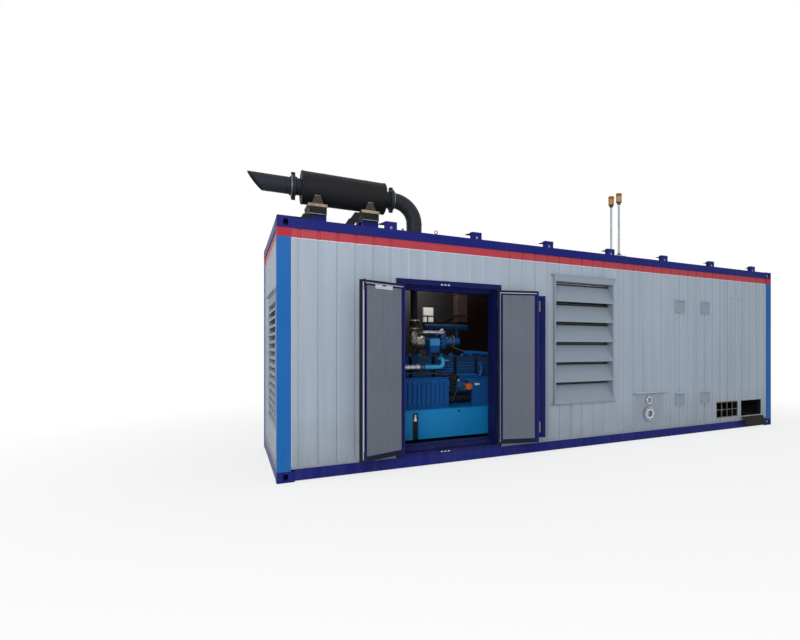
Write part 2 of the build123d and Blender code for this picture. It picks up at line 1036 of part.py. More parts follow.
bolt_turn = 180.0 / gas_bolt_count
with BuildPart() as gas_flange:
    with BuildSketch(Plane.XZ.offset(-flange_face)) as face_ring:
        with Locations((x_left + gas_x, gas_z)):
            Circle(gas_flange_radius)
            Circle(gas_bore_radius, mode=Mode.SUBTRACT)
            with PolarLocations(gas_bolt_circle / 2, gas_bolt_count, bolt_turn):
                Circle(gas_bolt_hole / 2, mode=Mode.SUBTRACT)
    extrude(amount=-gas_flange_thickness)
    with BuildSketch(Plane.XZ.offset(-flange_face - gas_flange_thickness)) as stub:
        with Locations((x_left + gas_x, gas_z)):
            Circle(gas_pipe_radius)
            Circle(gas_bore_radius, mode=Mode.SUBTRACT)
    extrude(amount=gas_flange_thickness - gas_stand)
gas_flange.part.label = "gas_flange"
export_step(gas_flange.part, "parts/gas_flange.step")

with BuildPart() as drain_flange:
    with BuildSketch(Plane.XZ.offset(drain_stand - clad_front)) as drain_ring:
        with Locations((x_left + gas_x, drain_z)):
            Circle(drain_radius)
            Circle(drain_bore_radius, mode=Mode.SUBTRACT)
    extrude(amount=panel_thickness - drain_stand)
drain_flange.part.label = "drain_flange"
export_step(drain_flange.part, "parts/drain_flange.step")

# Small covers, each with a drip ledge above and below
with BuildPart() as wall_covers:
    cover_x = x_left + cover_first
    for x_mid in (cover_x, cover_x + cover_pitch):
        for z_mid in (cover_low, cover_high):
            x0 = x_mid - cover_width / 2
            x1 = x0 + cover_width
            z0 = z_mid - cover_height / 2
            z1 = z0 + cover_height
            block(x0, x1, clad_front - cover_stand, clad_front, z0, z1)
            for z2 in (z0 - cover_ledge_plate, z1):
                block(
                    x0,
                    x1,
                    clad_front - cover_ledge,
                    clad_front,
                    z2,
                    z2 + cover_ledge_plate,
                )
wall_covers.part.label = "wall_covers"
export_step(wall_covers.part, "parts/wall_covers.step")

# Cable outlets: a barred opening and one with a rubber flap
grille_top = grille_bottom + grille_height
with BuildPart() as cable_grille:
    block(
        grille_x,
        grille_x + grille_width,
        clad_front,
        clad_front + grille_frame,
        grille_bottom,
        grille_top,
    )
    cell_width = (
        grille_width - 2 * grille_frame - (grille_columns - 1) * grille_bar
    ) / grille_columns
    cell_height = (
        grille_height - 2 * grille_frame - (grille_rows - 1) * grille_bar
    ) / grille_rows
    for column in range(grille_columns):
        for row in range(grille_rows):
            x0 = grille_x + grille_frame + column * (cell_width + grille_bar)
            z0 = grille_bottom + grille_frame + row * (cell_height + grille_bar)
            block(
                x0,
                x0 + cell_width,
                clad_front,
                clad_front + grille_frame,
                z0,
                z0 + cell_height,
                mode=Mode.SUBTRACT,
            )
cable_grille.part.label = "cable_grille"
export_step(cable_grille.part, "parts/cable_grille.step")

flap_hang = y_front - flap_drop
flap_path = [
    (clad_front + flap_thickness, flap_bottom + flap_thickness),
    (flap_hang, flap_bottom + flap_thickness),
    (flap_hang - flap_reach / 2, (flap_bottom + flap_lip) / 2),
    (flap_hang - flap_reach, flap_lip),
]
flap_under = [
    (y + 0.4 * flap_thickness, z - flap_thickness) for y, z in reversed(flap_path)
]
with BuildPart() as cable_flap:
    with BuildSketch(Plane.YZ.offset(flap_x)) as flap_side:
        with BuildLine():
            Polyline(*flap_path, *flap_under, close=True)
        make_face()
    extrude(amount=flap_width)
cable_flap.part.label = "cable_flap"
export_step(cable_flap.part, "parts/cable_flap.step")

# Box brackets along both roof edges, each with a side plate
with BuildPart() as roof_brackets:
    bracket_pitch = (length - bracket_first - bracket_last) / (bracket_count - 1)
    for i in range(bracket_count):
        x0 = x_left + bracket_first + i * bracket_pitch - bracket_width / 2
        for y0 in (y_front, y_back - bracket_depth):
            block(
                x0,
                x0 + bracket_width,
                y0,
                y0 + bracket_depth,
                top_rail_top,
                top_rail_top + bracket_height,
            )
            block(
                x0 - bracket_plate_width,
                x0,
                y0,
                y0 + bracket_depth,
                top_rail_top + bracket_plate_height,
                top_rail_top + bracket_plate_height + bracket_plate,
            )
roof_brackets.part.label = "roof_brackets"
export_step(roof_brackets.part, "parts/roof_brackets.step")

# Silencer, its pipes and the way down into the roof
silencer_x = x_left + silencer_left
silencer_end = silencer_x + silencer_length
clamp_x = silencer_end + front_neck_length
pipe_x = x_left + exhaust_x
elbow_top = silencer_axis - elbow_radius
elbow_lag = elbow_radius * (1 - math.cos(math.radians(45)))
riser_top = roof_top - roof_thickness
axis_start = Plane(
    origin=(silencer_x, y_middle, silencer_axis),
    x_dir=(0, 1, 0),
    z_dir=(1, 0, 0),
)
with BuildPart(axis_start) as silencer_body:
    Cylinder(silencer_radius, silencer_length, align=seated)
    fillet(silencer_body.edges().filter_by(GeomType.CIRCLE), silencer_edge)
silencer_body.part.label = "silencer_body"
export_step(silencer_body.part, "parts/silencer_body.step")

tail_length = silencer_left - tail_tip
bevel_run = 2 * pipe_radius * math.tan(math.radians(tail_bevel_angle))
with BuildPart() as tail_pipe:
    with BuildSketch(Plane.YZ.offset(silencer_x)) as tail_ring:
        with Locations((y_middle, silencer_axis)):
            Circle(pipe_radius)
            Circle(pipe_radius - pipe_wall, mode=Mode.SUBTRACT)
    extrude(amount=-tail_length)
    with BuildSketch(Plane.XZ.offset(-y_middle)) as bevel:
        with BuildLine():
            tip_x = x_left + tail_tip
            Polyline(
                (tip_x, silencer_axis + pipe_radius),
                (tip_x + bevel_run, silencer_axis - pipe_radius),
                (tip_x, silencer_axis - pipe_radius),
                close=True,
            )
        make_face()
    extrude(amount=2 * pipe_radius, both=True, mode=Mode.SUBTRACT)
    with BuildSketch(Plane.YZ.offset(silencer_x - neck_length)) as tail_clamp:
        with Locations((y_middle, silencer_axis)):
            Circle(clamp_radius)
            Circle(pipe_radius - pipe_wall, mode=Mode.SUBTRACT)
    extrude(amount=-clamp_width)
tail_pipe.part.label = "tail_pipe"
export_step(tail_pipe.part, "parts/tail_pipe.step")

with BuildPart() as exhaust_elbow:
    with BuildLine() as pipe_route:
        Line(
            (silencer_end, y_middle, silencer_axis),
            (pipe_x - elbow_radius, y_middle, silencer_axis),
        )
        ThreePointArc(
            (pipe_x - elbow_radius, y_middle, silencer_axis),
            (pipe_x - elbow_lag, y_middle, silencer_axis - elbow_lag),
            (pipe_x, y_middle, elbow_top),
        )
        Line((pipe_x, y_middle, elbow_top), (pipe_x, y_middle, riser_top))
    with BuildSketch(Plane.YZ.offset(silencer_end)) as pipe_section:
        with Locations((y_middle, silencer_axis)):
            Circle(pipe_radius)
    sweep()
    with Locations(Plane(origin=(clamp_x, y_middle, silencer_axis), z_dir=(1, 0, 0))):
        Cylinder(clamp_radius, clamp_width)
    with Locations((pipe_x, y_middle, elbow_top)):
        Cylinder(coupling_radius, coupling_height)
exhaust_elbow.part.label = "exhaust_elbow"
export_step(exhaust_elbow.part, "parts/exhaust_elbow.step")

with BuildPart() as roof_collar:
    with Locations((pipe_x, y_middle, roof_top)):
        Cylinder(roof_collar_radius, roof_collar_height, align=seated)
        Cylinder(
            pipe_radius + cradle_clear,
            roof_collar_height,
            align=seated,
            mode=Mode.SUBTRACT,
        )
roof_collar.part.label = "roof_collar"
export_step(roof_collar.part, "parts/roof_collar.step")

support_places = [
    x_left + support_first,
    x_left + support_first + support_pitch,
]
cradle_z = silencer_axis - silencer_radius + cradle_height * 0.75 - cradle_height
beam_top = cradle_z - cradle_plate
beam_bottom = beam_top - support_beam_height
with BuildPart() as silencer_posts:
    for x_mid in support_places:
        for y_mid in (y_middle - support_spread / 2, y_middle + support_spread / 2):
            block(
                x_mid - support_post_width / 2,
                x_mid + support_post_width / 2,
                y_mid - support_post_depth / 2,
                y_mid + support_post_depth / 2,
                roof_top,
                beam_bottom,
            )
silencer_posts.part.label = "silencer_posts"
export_step(silencer_posts.part, "parts/silencer_posts.step")

with BuildPart() as silencer_beams:
    for x_mid in support_places:
        block(
            x_mid - support_post_width / 2,
            x_mid + support_post_width / 2,
            y_middle - support_beam_length / 2,
            y_middle + support_beam_length / 2,
            beam_bottom,
            beam_top,
        )
silencer_beams.part.label = "silencer_beams"
export_step(silencer_beams.part, "parts/silencer_beams.step")

with BuildPart() as silencer_cradles:
    for x_mid in support_places:
        block(
            x_mid - cradle_plate_width / 2,
            x_mid + cradle_plate_width / 2,
            y_middle - cradle_length / 2,
            y_middle + cradle_length / 2,
            beam_top,
            cradle_z,
        )
        with BuildSketch(Plane.XZ.offset(-y_middle)) as cradle_face:
            with BuildLine():
                Polyline(
                    (x_mid - cradle_base / 2, cradle_z),
                    (x_mid + cradle_base / 2, cradle_z),
                    (x_mid + cradle_top / 2, cradle_z + cradle_height),
                    (x_mid - cradle_top / 2, cradle_z + cradle_height),
                    close=True,
                )
            make_face()
        extrude(amount=cradle_length / 2, both=True)
    with Locations(axis_start):
        Cylinder(
            silencer_radius + cradle_clear,
            silencer_length,
            align=seated,
            mode=Mode.SUBTRACT,
        )
silencer_cradles.part.label = "silencer_cradles"
export_step(silencer_cradles.part, "parts/silencer_cradles.step")

# Beacon masts and lamps
mast_places = [
    (x_left + mast_x, y_front + mast_first_y + i * mast_pitch)
    for i in range(mast_count)
]
mast_base = top_rail_top + bracket_plate
mast_top = mast_base + mast_foot_height + mast_height
with BuildPart() as beacon_masts:
    block(
        x_left + mast_x - mast_plate_length / 2,
        x_left + mast_x + mast_plate_length / 2,
        y_front,
        y_front + mast_plate_width,
        top_rail_top,
        mast_base,
    )
    for x0, y0 in mast_places:
        with Locations((x0, y0, mast_base)):
            Cylinder(mast_foot_radius, mast_foot_height, align=seated)
            Cylinder(mast_radius, mast_foot_height + mast_height, align=seated)
beacon_masts.part.label = "beacon_masts"
export_step(beacon_masts.part, "parts/beacon_masts.step")

with BuildPart() as beacon_lamps:
    for x0, y0 in mast_places:
        with Locations((x0, y0, mast_top)):
            Cone(mast_radius, lamp_neck_radius, lamp_neck_height, align=seated)
        with Locations((x0, y0, mast_top + lamp_neck_height)):
            Cylinder(lamp_radius, lamp_height, align=seated)
        with Locations((x0, y0, mast_top + lamp_neck_height + lamp_height)):
            Cylinder(lamp_cap_radius, lamp_cap_height, align=seated)
beacon_lamps.part.label = "beacon_lamps"
export_step(beacon_lamps.part, "parts/beacon_lamps.step")

# Engine on its skid
skid_x = x_left + skid_left
skid_y = y_front + skid_front
skid_bottom = floor_top + skid_foot_height
skid_top = skid_bottom + skid_height
with BuildPart() as engine_skid:
    block(
        skid_x,
        skid_x + skid_length,
        skid_y,
        skid_y + skid_width,
        skid_bottom,
        skid_top,
    )
    for x0 in (skid_x, skid_x + skid_length - skid_foot_length):
        block(
            x0,
            x0 + skid_foot_length,
            skid_y,
            skid_y + skid_width,
            floor_top,
            skid_bottom,
        )
    with Locations((x_left + skid_slot_x, skid_y, skid_bottom)):
        Box(
            skid_slot_width,
            2 * skid_hole_depth,
            skid_height - skid_hole_drop,
            align=seated,
            mode=Mode.SUBTRACT,
        )
    with Locations((x_left + skid_hole_x, skid_y, skid_top - skid_hole_drop)):
        Cylinder(
            skid_hole_radius,
            2 * skid_hole_depth,
            rotation=(90, 0, 0),
            mode=Mode.SUBTRACT,
        )
engine_skid.part.label = "engine_skid"
export_step(engine_skid.part, "parts/engine_skid.step")

block_x = x_left + block_left
block_y = y_front + block_front
block_top = skid_top + block_height
starter_x = block_x + starter_left
with BuildPart() as engine_block:
    block(
        block_x,
        block_x + block_length,
        block_y,
        block_y + block_width,
        skid_top,
        block_top,
    )
    block(
        starter_x,
        starter_x + starter_room,
        block_y,
        block_y + starter_room_depth,
        skid_top,
        skid_top + starter_room_height,
        mode=Mode.SUBTRACT,
    )
    for i in range(int(ribbed_length / block_rib_pitch)):
        x0 = block_x + (i + 0.5) * block_rib_pitch
        for y0 in (block_y - block_rib_depth, block_y + block_width):
            block(
                x0 - block_rib_width / 2,
                x0 + block_rib_width / 2,
                y0,
                y0 + block_rib_depth,
                skid_top + block_rib_bottom,
                skid_top + block_rib_bottom + block_rib_height,
            )
engine_block.part.label = "engine_block"
export_step(engine_block.part, "parts/engine_block.step")

with BuildPart() as starter_motor:
    starter_centre = Plane(
        origin=(
            starter_x,
            block_y + starter_room_depth - starter_radius,
            skid_top + starter_room_height / 2,
        ),
        z_dir=(1, 0, 0),
    )
    with Locations(starter_centre):
        Cylinder(starter_radius, starter_room, align=seated)
starter_motor.part.label = "starter_motor"
export_step(starter_motor.part, "parts/starter_motor.step")

head_pitch = block_length / head_count
head_top = block_top + head_height
head_front = block_y + head_inset
head_back = block_y + block_width - head_inset - head_width
with BuildPart() as cylinder_heads:
    for i in range(head_count):
        x0 = block_x + i * head_pitch + head_gap / 2
        for y0 in (head_front, head_back):
            block(
                x0,
                x0 + head_pitch - head_gap,
                y0,
                y0 + head_width,
                block_top,
                head_top,
            )
    fillet(cylinder_heads.edges().filter_by(Axis.X).group_by(Axis.Z)[-1], head_fillet)
cylinder_heads.part.label = "cylinder_heads"
export_step(cylinder_heads.part, "parts/cylinder_heads.step")

manifold_x = x_left + manifold_left
mixer_middle = x_left + mixer_box_left + mixer_box_length / 2
mixer_box_top = mixer_box_bottom + mixer_box_height
with BuildPart() as intake_manifold:
    with Locations(Plane(origin=(manifold_x, y_middle, manifold_z), z_dir=(1, 0, 0))):
        Cylinder(manifold_radius, manifold_length, align=seated)
    with Locations((mixer_middle, y_front + manifold_feed_y, mixer_box_top)):
        Cylinder(manifold_branch_radius, manifold_z - mixer_box_top, align=seated)
    with Locations((x_left + manifold_drop_x, y_middle, turbo_z)):
        Cylinder(manifold_branch_radius, manifold_z - turbo_z, align=seated)
    with Locations(Plane(origin=(manifold_x, y_middle, turbo_z), z_dir=(1, 0, 0))):
        Cylinder(
            mixer_tube_radius + cradle_clear,
            manifold_length,
            align=seated,
            mode=Mode.SUBTRACT,
        )
intake_manifold.part.label = "intake_manifold"
export_step(intake_manifold.part, "parts/intake_manifold.step")

# Turbocharger in its heat wrap, carried on a pedestal between the heads
turbo_x = x_left + turbo_left
with BuildPart() as turbocharger:
    with Locations(Plane(origin=(turbo_x, y_middle, turbo_z), z_dir=(1, 0, 0))):
        Cylinder(turbo_radius, turbo_length, align=seated)
    fillet(turbocharger.edges().filter_by(GeomType.CIRCLE), turbo_radius / 3)
    with Locations((pipe_x, y_middle, turbo_z)):
        Cylinder(bellows_radius, bellows_bottom - turbo_z, align=seated)
    with Locations((turbo_x + turbo_length / 2, y_middle, block_top)):
        Box(turbo_pedestal, turbo_pedestal, turbo_z - block_top, align=seated)
turbocharger.part.label = "turbocharger"
export_step(turbocharger.part, "parts/turbocharger.step")

bellows_top = bellows_bottom + bellows_height
reducer_top = reducer_bottom + reducer_height
with BuildPart() as exhaust_riser:
    with Locations((pipe_x, y_middle, bellows_bottom)):
        Cylinder(bellows_radius, bellows_height, align=seated)
    with Locations((pipe_x, y_middle, bellows_top)):
        Cylinder(riser_radius, reducer_bottom - bellows_top, align=seated)
    with Locations((pipe_x, y_middle, reducer_bottom)):
        Cone(riser_radius, pipe_radius, reducer_height, align=seated)
    with Locations((pipe_x, y_middle, reducer_top)):
        Cylinder(pipe_radius, riser_top - reducer_top, align=seated)
exhaust_riser.part.label = "exhaust_riser"
export_step(exhaust_riser.part, "parts/exhaust_riser.step")

# Gas mixer beside the turbocharger
turbo_end = turbo_x + turbo_length
with BuildPart() as gas_mixer:
    with Locations(Plane(origin=(turbo_end, y_middle, turbo_z), z_dir=(1, 0, 0))):
        Cylinder(mixer_tube_radius, x_left + mixer_tube_end - turbo_end, align=seated)
    disc_x = x_left + mixer_disc_left
    with Locations(Plane(origin=(disc_x, y_middle, turbo_z), z_dir=(1, 0, 0))):
        Cylinder(mixer_disc_radius, mixer_disc_length, align=seated)
    block(
        x_left + mixer_box_left,
        x_left + mixer_box_left + mixer_box_length,
        y_middle - mixer_box_depth,
        y_middle,
        mixer_box_bottom,
        mixer_box_top,
    )
gas_mixer.part.label = "gas_mixer"
export_step(gas_mixer.part, "parts/gas_mixer.step")

gas_row = y_front + gas_train_y
gas_lift = gas_train_z + gas_train_rise
gas_route = [
    (x_left + gas_train_left, head_front, gas_train_z),
    (x_left + gas_train_left, gas_row, gas_train_z),
    (x_left + gas_train_right, gas_row, gas_train_z),
    (x_left + gas_train_right, gas_row, gas_lift),
    (x_left + gas_train_right, head_front, gas_lift),
]
with BuildPart() as gas_train:
    with BuildLine():
        FilletPolyline(*gas_route, radius=gas_train_bend)
    with BuildSketch(Plane.XZ.offset(-head_front)):
        with Locations((x_left + gas_train_left, gas_train_z)):
            Circle(gas_train_radius)
    sweep()
gas_train.part.label = "gas_train"
export_step(gas_train.part, "parts/gas_train.step")

with BuildPart() as oil_filter:
    with Locations((x_left + filter_x, block_y - filter_length / 2, filter_z)):
        Cylinder(filter_radius, filter_length, rotation=(90, 0, 0))
oil_filter.part.label = "oil_filter"
export_step(oil_filter.part, "parts/oil_filter.step")

# Control boxes on the inner face of the back wall
with BuildPart() as control_boxes:
    back_inner = clad_back - wall
    z0 = control_box_z
    for box_height in control_box_heights:
        block(
            x_left + control_box_x,
            x_left + control_box_x + control_box_width,
            back_inner - control_box_depth,
            back_inner,
            z0,
            z0 + box_height,
        )
        z0 += box_height + control_box_gap
control_boxes.part.label = "control_boxes"
export_step(control_boxes.part, "parts/control_boxes.step")
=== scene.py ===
"""Containerised gas generator set, dressed over its CAD frame."""

import itertools
import math

import bmesh
import bpy
from bpy.props import FloatProperty, FloatVectorProperty, IntProperty, PointerProperty
from mathutils import Matrix, Vector, noise


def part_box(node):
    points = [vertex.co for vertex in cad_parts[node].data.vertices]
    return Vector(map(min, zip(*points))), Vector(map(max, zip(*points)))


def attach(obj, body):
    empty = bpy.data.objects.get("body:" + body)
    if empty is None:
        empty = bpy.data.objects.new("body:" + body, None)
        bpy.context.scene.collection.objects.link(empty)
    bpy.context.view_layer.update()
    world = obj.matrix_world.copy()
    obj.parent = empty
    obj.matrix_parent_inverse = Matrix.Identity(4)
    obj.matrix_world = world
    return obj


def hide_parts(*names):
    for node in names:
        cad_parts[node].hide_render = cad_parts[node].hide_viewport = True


bl_info = {
    "name": "Containerised gas generator set",
    "version": (1, 0, 0),
    "blender": (4, 5, 0),
    "location": "3D View > Sidebar > Generator",
    "description": "Fittings, finishes and studio for a containerised gas generator set",
    "category": "Object",
}

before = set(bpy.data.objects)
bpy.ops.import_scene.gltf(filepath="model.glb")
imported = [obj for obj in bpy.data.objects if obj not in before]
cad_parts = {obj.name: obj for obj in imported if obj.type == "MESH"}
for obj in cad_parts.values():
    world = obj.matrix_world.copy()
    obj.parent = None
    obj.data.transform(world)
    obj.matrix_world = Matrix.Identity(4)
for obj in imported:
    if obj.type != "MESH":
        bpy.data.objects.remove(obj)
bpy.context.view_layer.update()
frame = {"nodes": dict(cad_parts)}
MM = 0.001


def linear(code):
    """sRGB hex to the linear colour that Blender works in."""
    parts = [int(code[i : i + 2], 16) / 255 for i in (0, 2, 4)]
    return tuple(
        c / 12.92 if c <= 0.04045 else ((c + 0.055) / 1.055) ** 2.4 for c in parts
    )


def cad(node):
    """Lowest and highest corner of a CAD node, in millimetres."""
    low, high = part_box(node)
    return low / MM, high / MM


# Settings


def colour_setting(name, description, code):
    """A colour setting that starts from an sRGB hex value."""
    return FloatVectorProperty(
        name=name,
        description=description,
        subtype="COLOR",
        size=3,
        min=0,
        max=1,
        default=linear(code),
    )


def size_setting(name, description, millimetres):
    """A size setting, kept in metres, that starts from millimetres."""
    return FloatProperty(
        name=name,
        description=description,
        subtype="DISTANCE",
        unit="LENGTH",
        min=0,
        default=millimetres * MM,
    )


class GensetColours(bpy.types.PropertyGroup):
    """Paint colours of the set."""

    frame: colour_setting("Frame", "Enamel of the steel frame", "0F186B")
    post: colour_setting("Corner posts", "Enamel of the corner posts", "1462AA")
    wall: colour_setting("Walls", "Coating of the wall sheets", "A4B0BE")
    band: colour_setting("Band", "Painted band below the roof", "AD2C3A")
    lining: colour_setting("Door lining", "Coating of the door linings", "636875")
    skid: colour_setting("Skid", "Enamel of the engine skid", "1289CB")
    engine: colour_setting("Engine", "Enamel of the engine", "0F5597")
    exhaust: colour_setting("Exhaust", "Heat paint of the silencer", "131418")
    beacon: colour_setting("Beacons", "Lens of the beacon lights", "C8901C")


class GensetSizes(bpy.types.PropertyGroup):
    """Sizes of the fittings that a user may change."""

    screw: size_setting("Wall screw", "Washer radius of the wall screws", 8)
    weld: size_setting("Weld bead", "Radius of the weld beads", 4)
    band_bottom: size_setting("Band height", "Lower edge of the painted band", 2678)
    rib_pitch: size_setting("Lining ribs", "Spacing of the door lining ribs", 20)
    flap_waves: IntProperty(
        name="Flap waves",
        description="Folds across the rubber flap",
        min=1,
        max=9,
        default=4,
    )


class GensetStudio(bpy.types.PropertyGroup):
    """Light and floor of the studio."""

    floor: colour_setting("Floor", "Colour of the studio floor", "F6F6F6")
    sky: FloatProperty(
        name="Sky", description="Strength of the even light", min=0, default=0.6
    )
    key: FloatProperty(
        name="Key lamp",
        description="Power of the large lamp in front",
        unit="POWER",
        min=0,
        default=400,
    )
    lens: FloatProperty(
        name="Lens",
        description="Focal length of the camera",
        subtype="DISTANCE_CAMERA",
        min=1,
        default=22.985,
    )


# Shapes


class Shape:
    """A mesh under construction, in millimetres, along its own axes."""

    def __init__(self, turn=None):
        self.mesh = bmesh.new()
        self.turn = turn or Matrix.Identity(4)

    def bar(self, low, high):
        """A rectangular bar between two corners."""
        (x0, y0, z0), (x1, y1, z1) = low, high
        self.prism([(x0, y0, z0), (x1, y0, z0), (x1, y1, z0), (x0, y1, z0)], (0, 0, z1 - z0))

    def prism(self, outline, along):
        """A closed outline carried along a vector."""
        ends = [
            [self.mesh.verts.new(self.turn @ (Vector(p) + shift)) for p in outline]
            for shift in (Vector((0, 0, 0)), Vector(along))
        ]
        self.mesh.faces.new(list(reversed(ends[0])))
        self.mesh.faces.new(ends[1])
        for i in range(len(outline)):
            j = (i + 1) % len(outline)
            self.mesh.faces.new((ends[0][i], ends[0][j], ends[1][j], ends[1][i]))

    def rings(self, rows, closed=False, caps=True):
        """Joins rings of points, each with the same number of points."""
        made = [[self.mesh.verts.new(self.turn @ Vector(p)) for p in row] for row in rows]
        pairs = list(zip(made, made[1:] + made[:1] if closed else made[1:]))
        for a, b in pairs:
            for i in range(len(a)):
                j = (i + 1) % len(a)
                self.mesh.faces.new((a[i], a[j], b[j], b[i]))
        if caps and not closed:
            self.mesh.faces.new(list(reversed(made[0])))
            self.mesh.faces.new(made[-1])

    def spun(self, outline, at, axis, sides=32, closed=False):
        """Turns (distance along, radius) pairs about an axis through a point."""
        axis = Vector(axis).normalized()
        across = axis.orthogonal().normalized()
        third = axis.cross(across)
        at = Vector(at)
        rows = []
        for along, radius in outline:
            centre = at + axis * along
            turns = circle(sides, max(radius, 0.05))
            rows.append([centre + across * c + third * s for c, s in turns])
        self.rings(rows, closed=closed)

    def rod(self, path, radius, sides=10, closed=False):
        """A round rod along a path; radius is a number or one per point."""
        path = [Vector(p) for p in path]
        count = len(path)
        rows = []
        side = None
        for i, p in enumerate(path):
            before = path[(i - 1) % count] if closed or i else p
            after = path[(i + 1) % count] if closed or i < count - 1 else p
            axis = (after - before).normalized()
            if side is None:
                side = axis.orthogonal().normalized()
            side = (side - axis * side.dot(axis)).normalized()
            third = axis.cross(side)
            size = radius[i] if isinstance(radius, (list, tuple)) else radius
            rows.append([p + side * c + third * s for c, s in circle(sides, size)])
        self.rings(rows, closed=closed)

    def ring(self, at, axis, half, inner, outer, sides):
        """A flat ring that reaches half its width each way along an axis."""
        outline = [(-half, inner), (-half, outer), (half, outer), (half, inner)]
        self.spun(outline, at, axis, sides, closed=True)

    def screw(self, at, axis, washer=8.0, head=5.0, tall=5.0):
        """A hexagon screw head on its round washer."""
        self.spun([(0, washer), (1.2, washer), (1.8, washer * 0.9)], at, axis, 14)
        self.spun([(1.8, head), (tall, head), (tall + 0.8, head * 0.8)], at, axis, 6)

    def screws(self, xs, ys, zs, axis, washer=8.0, head=5.0, tall=5.0):
        """A screw at each meeting of the given positions."""
        for at in itertools.product(xs, ys, zs):
            self.screw(at, axis, washer, head, tall)


def circle(count, radius, start=0.0):
    """Pairs of offsets that stand evenly round a circle."""
    turns = [start + math.tau * k / count for k in range(count)]
    return [(radius * math.cos(a), radius * math.sin(a)) for a in turns]


def evenly(first, last, count):
    """Numbers spaced evenly from the first to the last."""
    return [first + (last - first) * k / (count - 1) for k in range(count)]


def bend(points, radius, steps=6):
    """Rounds the corners of a route of points."""
    points = [Vector(p) for p in points]
    out = [points[0]]
    for a, b, c in zip(points, points[1:], points[2:]):
        u, v = (a - b).normalized(), (c - b).normalized()
        reach = min(radius, (a - b).length / 2.01, (c - b).length / 2.01)
        for i in range(steps + 1):
            t = i / steps
            out.append(
                (b + u * reach) * (1 - t) ** 2 + b * 2 * t * (1 - t) + (b + v * reach) * t**2
            )
    out.append(points[-1])
    return out


def place(shape, name, finish, body="container", slot=None, bevel=0.0, smooth=35):
    """Turns a shape into a named piece that rides on a body."""
    mesh = bpy.data.meshes.new(name)
    bmesh.ops.recalc_face_normals(shape.mesh, faces=shape.mesh.faces)
    bmesh.ops.scale(shape.mesh, vec=(MM, MM, MM), verts=shape.mesh.verts)
    shape.mesh.to_mesh(mesh)
    shape.mesh.free()
    for polygon in mesh.polygons:
        polygon.use_smooth = True
    mesh.set_sharp_from_angle(angle=math.radians(smooth))
    piece = bpy.data.objects.new(name, mesh)
    bpy.context.scene.collection.objects.link(piece)
    mesh.materials.append(material(finish))
    if bevel:
        soften = piece.modifiers.new("Broken edges", "BEVEL")
        soften.width = bevel * MM
        soften.segments = 2
        soften.limit_method = "ANGLE"
        soften.angle_limit = math.radians(40)
    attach(piece, body)
    return piece


# Finishes

# A noise of scale 1 has lumps about 500 mm across
LUMP = 500.0
# Stretch and raggedness of a noise that is given without them
EVEN, RAGGED = (1, 1, 1), 0.55


def add(tree, kind, inputs=None, out=0, **settings):
    """Adds a shader node and returns one of its outputs. Its inputs go by
    name or number, and each is a value or a socket to link."""
    node = tree.nodes.new("ShaderNode" + kind)
    for key, value in settings.items():
        setattr(node, key, value)
    for key, value in (inputs or {}).items():
        if isinstance(value, bpy.types.NodeSocket):
            tree.links.new(value, node.inputs[key])
        else:
            node.inputs[key].default_value = value
    return node.outputs[out] if len(node.outputs) else None


def rgba(colour):
    """A colour with full alpha, from a hex code or a linear triple."""
    return (*(linear(colour) if isinstance(colour, str) else colour), 1.0)


def begin(name, *clouds):
    """Starts a material: its tree, its place socket in metres and its clouds.
    Each cloud is given as size in millimetres and detail, and may add its
    stretch and raggedness."""
    made = bpy.data.materials.new(name)
    made.use_nodes = True
    tree = made.node_tree
    tree.nodes.clear()
    spot = add(tree, "TexCoord", out="Object")
    grains = []
    for cloud in clouds:
        size, detail, stretch, ragged = cloud + (EVEN, RAGGED)[len(cloud) - 2 :]
        at = add(tree, "Mapping", {"Vector": spot, "Scale": stretch})
        inputs = {"Vector": at, "Scale": LUMP / size, "Detail": detail, "Roughness": ragged}
        grains.append(add(tree, "TexNoise", inputs))
    return tree, spot, grains


def tinted(tree, shade, *layers):
    """Lays colours over a shade. Each layer is a mask, where the mask starts
    and where it is full, how strong the layer gets and its colour."""
    for mask, start, full, strength, tint in layers:
        amount = add(tree, "MapRange", {0: mask, 1: start, 2: full, 3: 0.0, 4: strength})
        if not isinstance(tint, bpy.types.NodeSocket):
            tint = rgba(tint)
        shade = add(tree, "Mix", {0: amount, 6: shade, 7: tint}, 2, data_type="RGBA")
    return shade


def end(tree, shade, rough, heights, **fixed):
    """Ends a material with its shader. The roughness is a mask, the mask's
    range and the roughness at both ends; each height is a mask, a depth in
    millimetres and a strength, and the finest comes last."""
    bump = {}
    for mask, depth, strength in heights:
        inputs = {"Height": mask, "Distance": depth * MM, "Strength": strength}
        bump = {"Normal": add(tree, "Bump", {**inputs, **bump})}
    mask, start, full, least, most = rough
    dull = add(tree, "MapRange", {0: mask, 1: start, 2: full, 3: least, 4: most})
    named = {key.replace("_", " "): value for key, value in fixed.items()}
    inputs = {"Base Color": shade, "Roughness": dull, **bump, **named}
    add(tree, "OutputMaterial", {"Surface": add(tree, "BsdfPrincipled", inputs)})


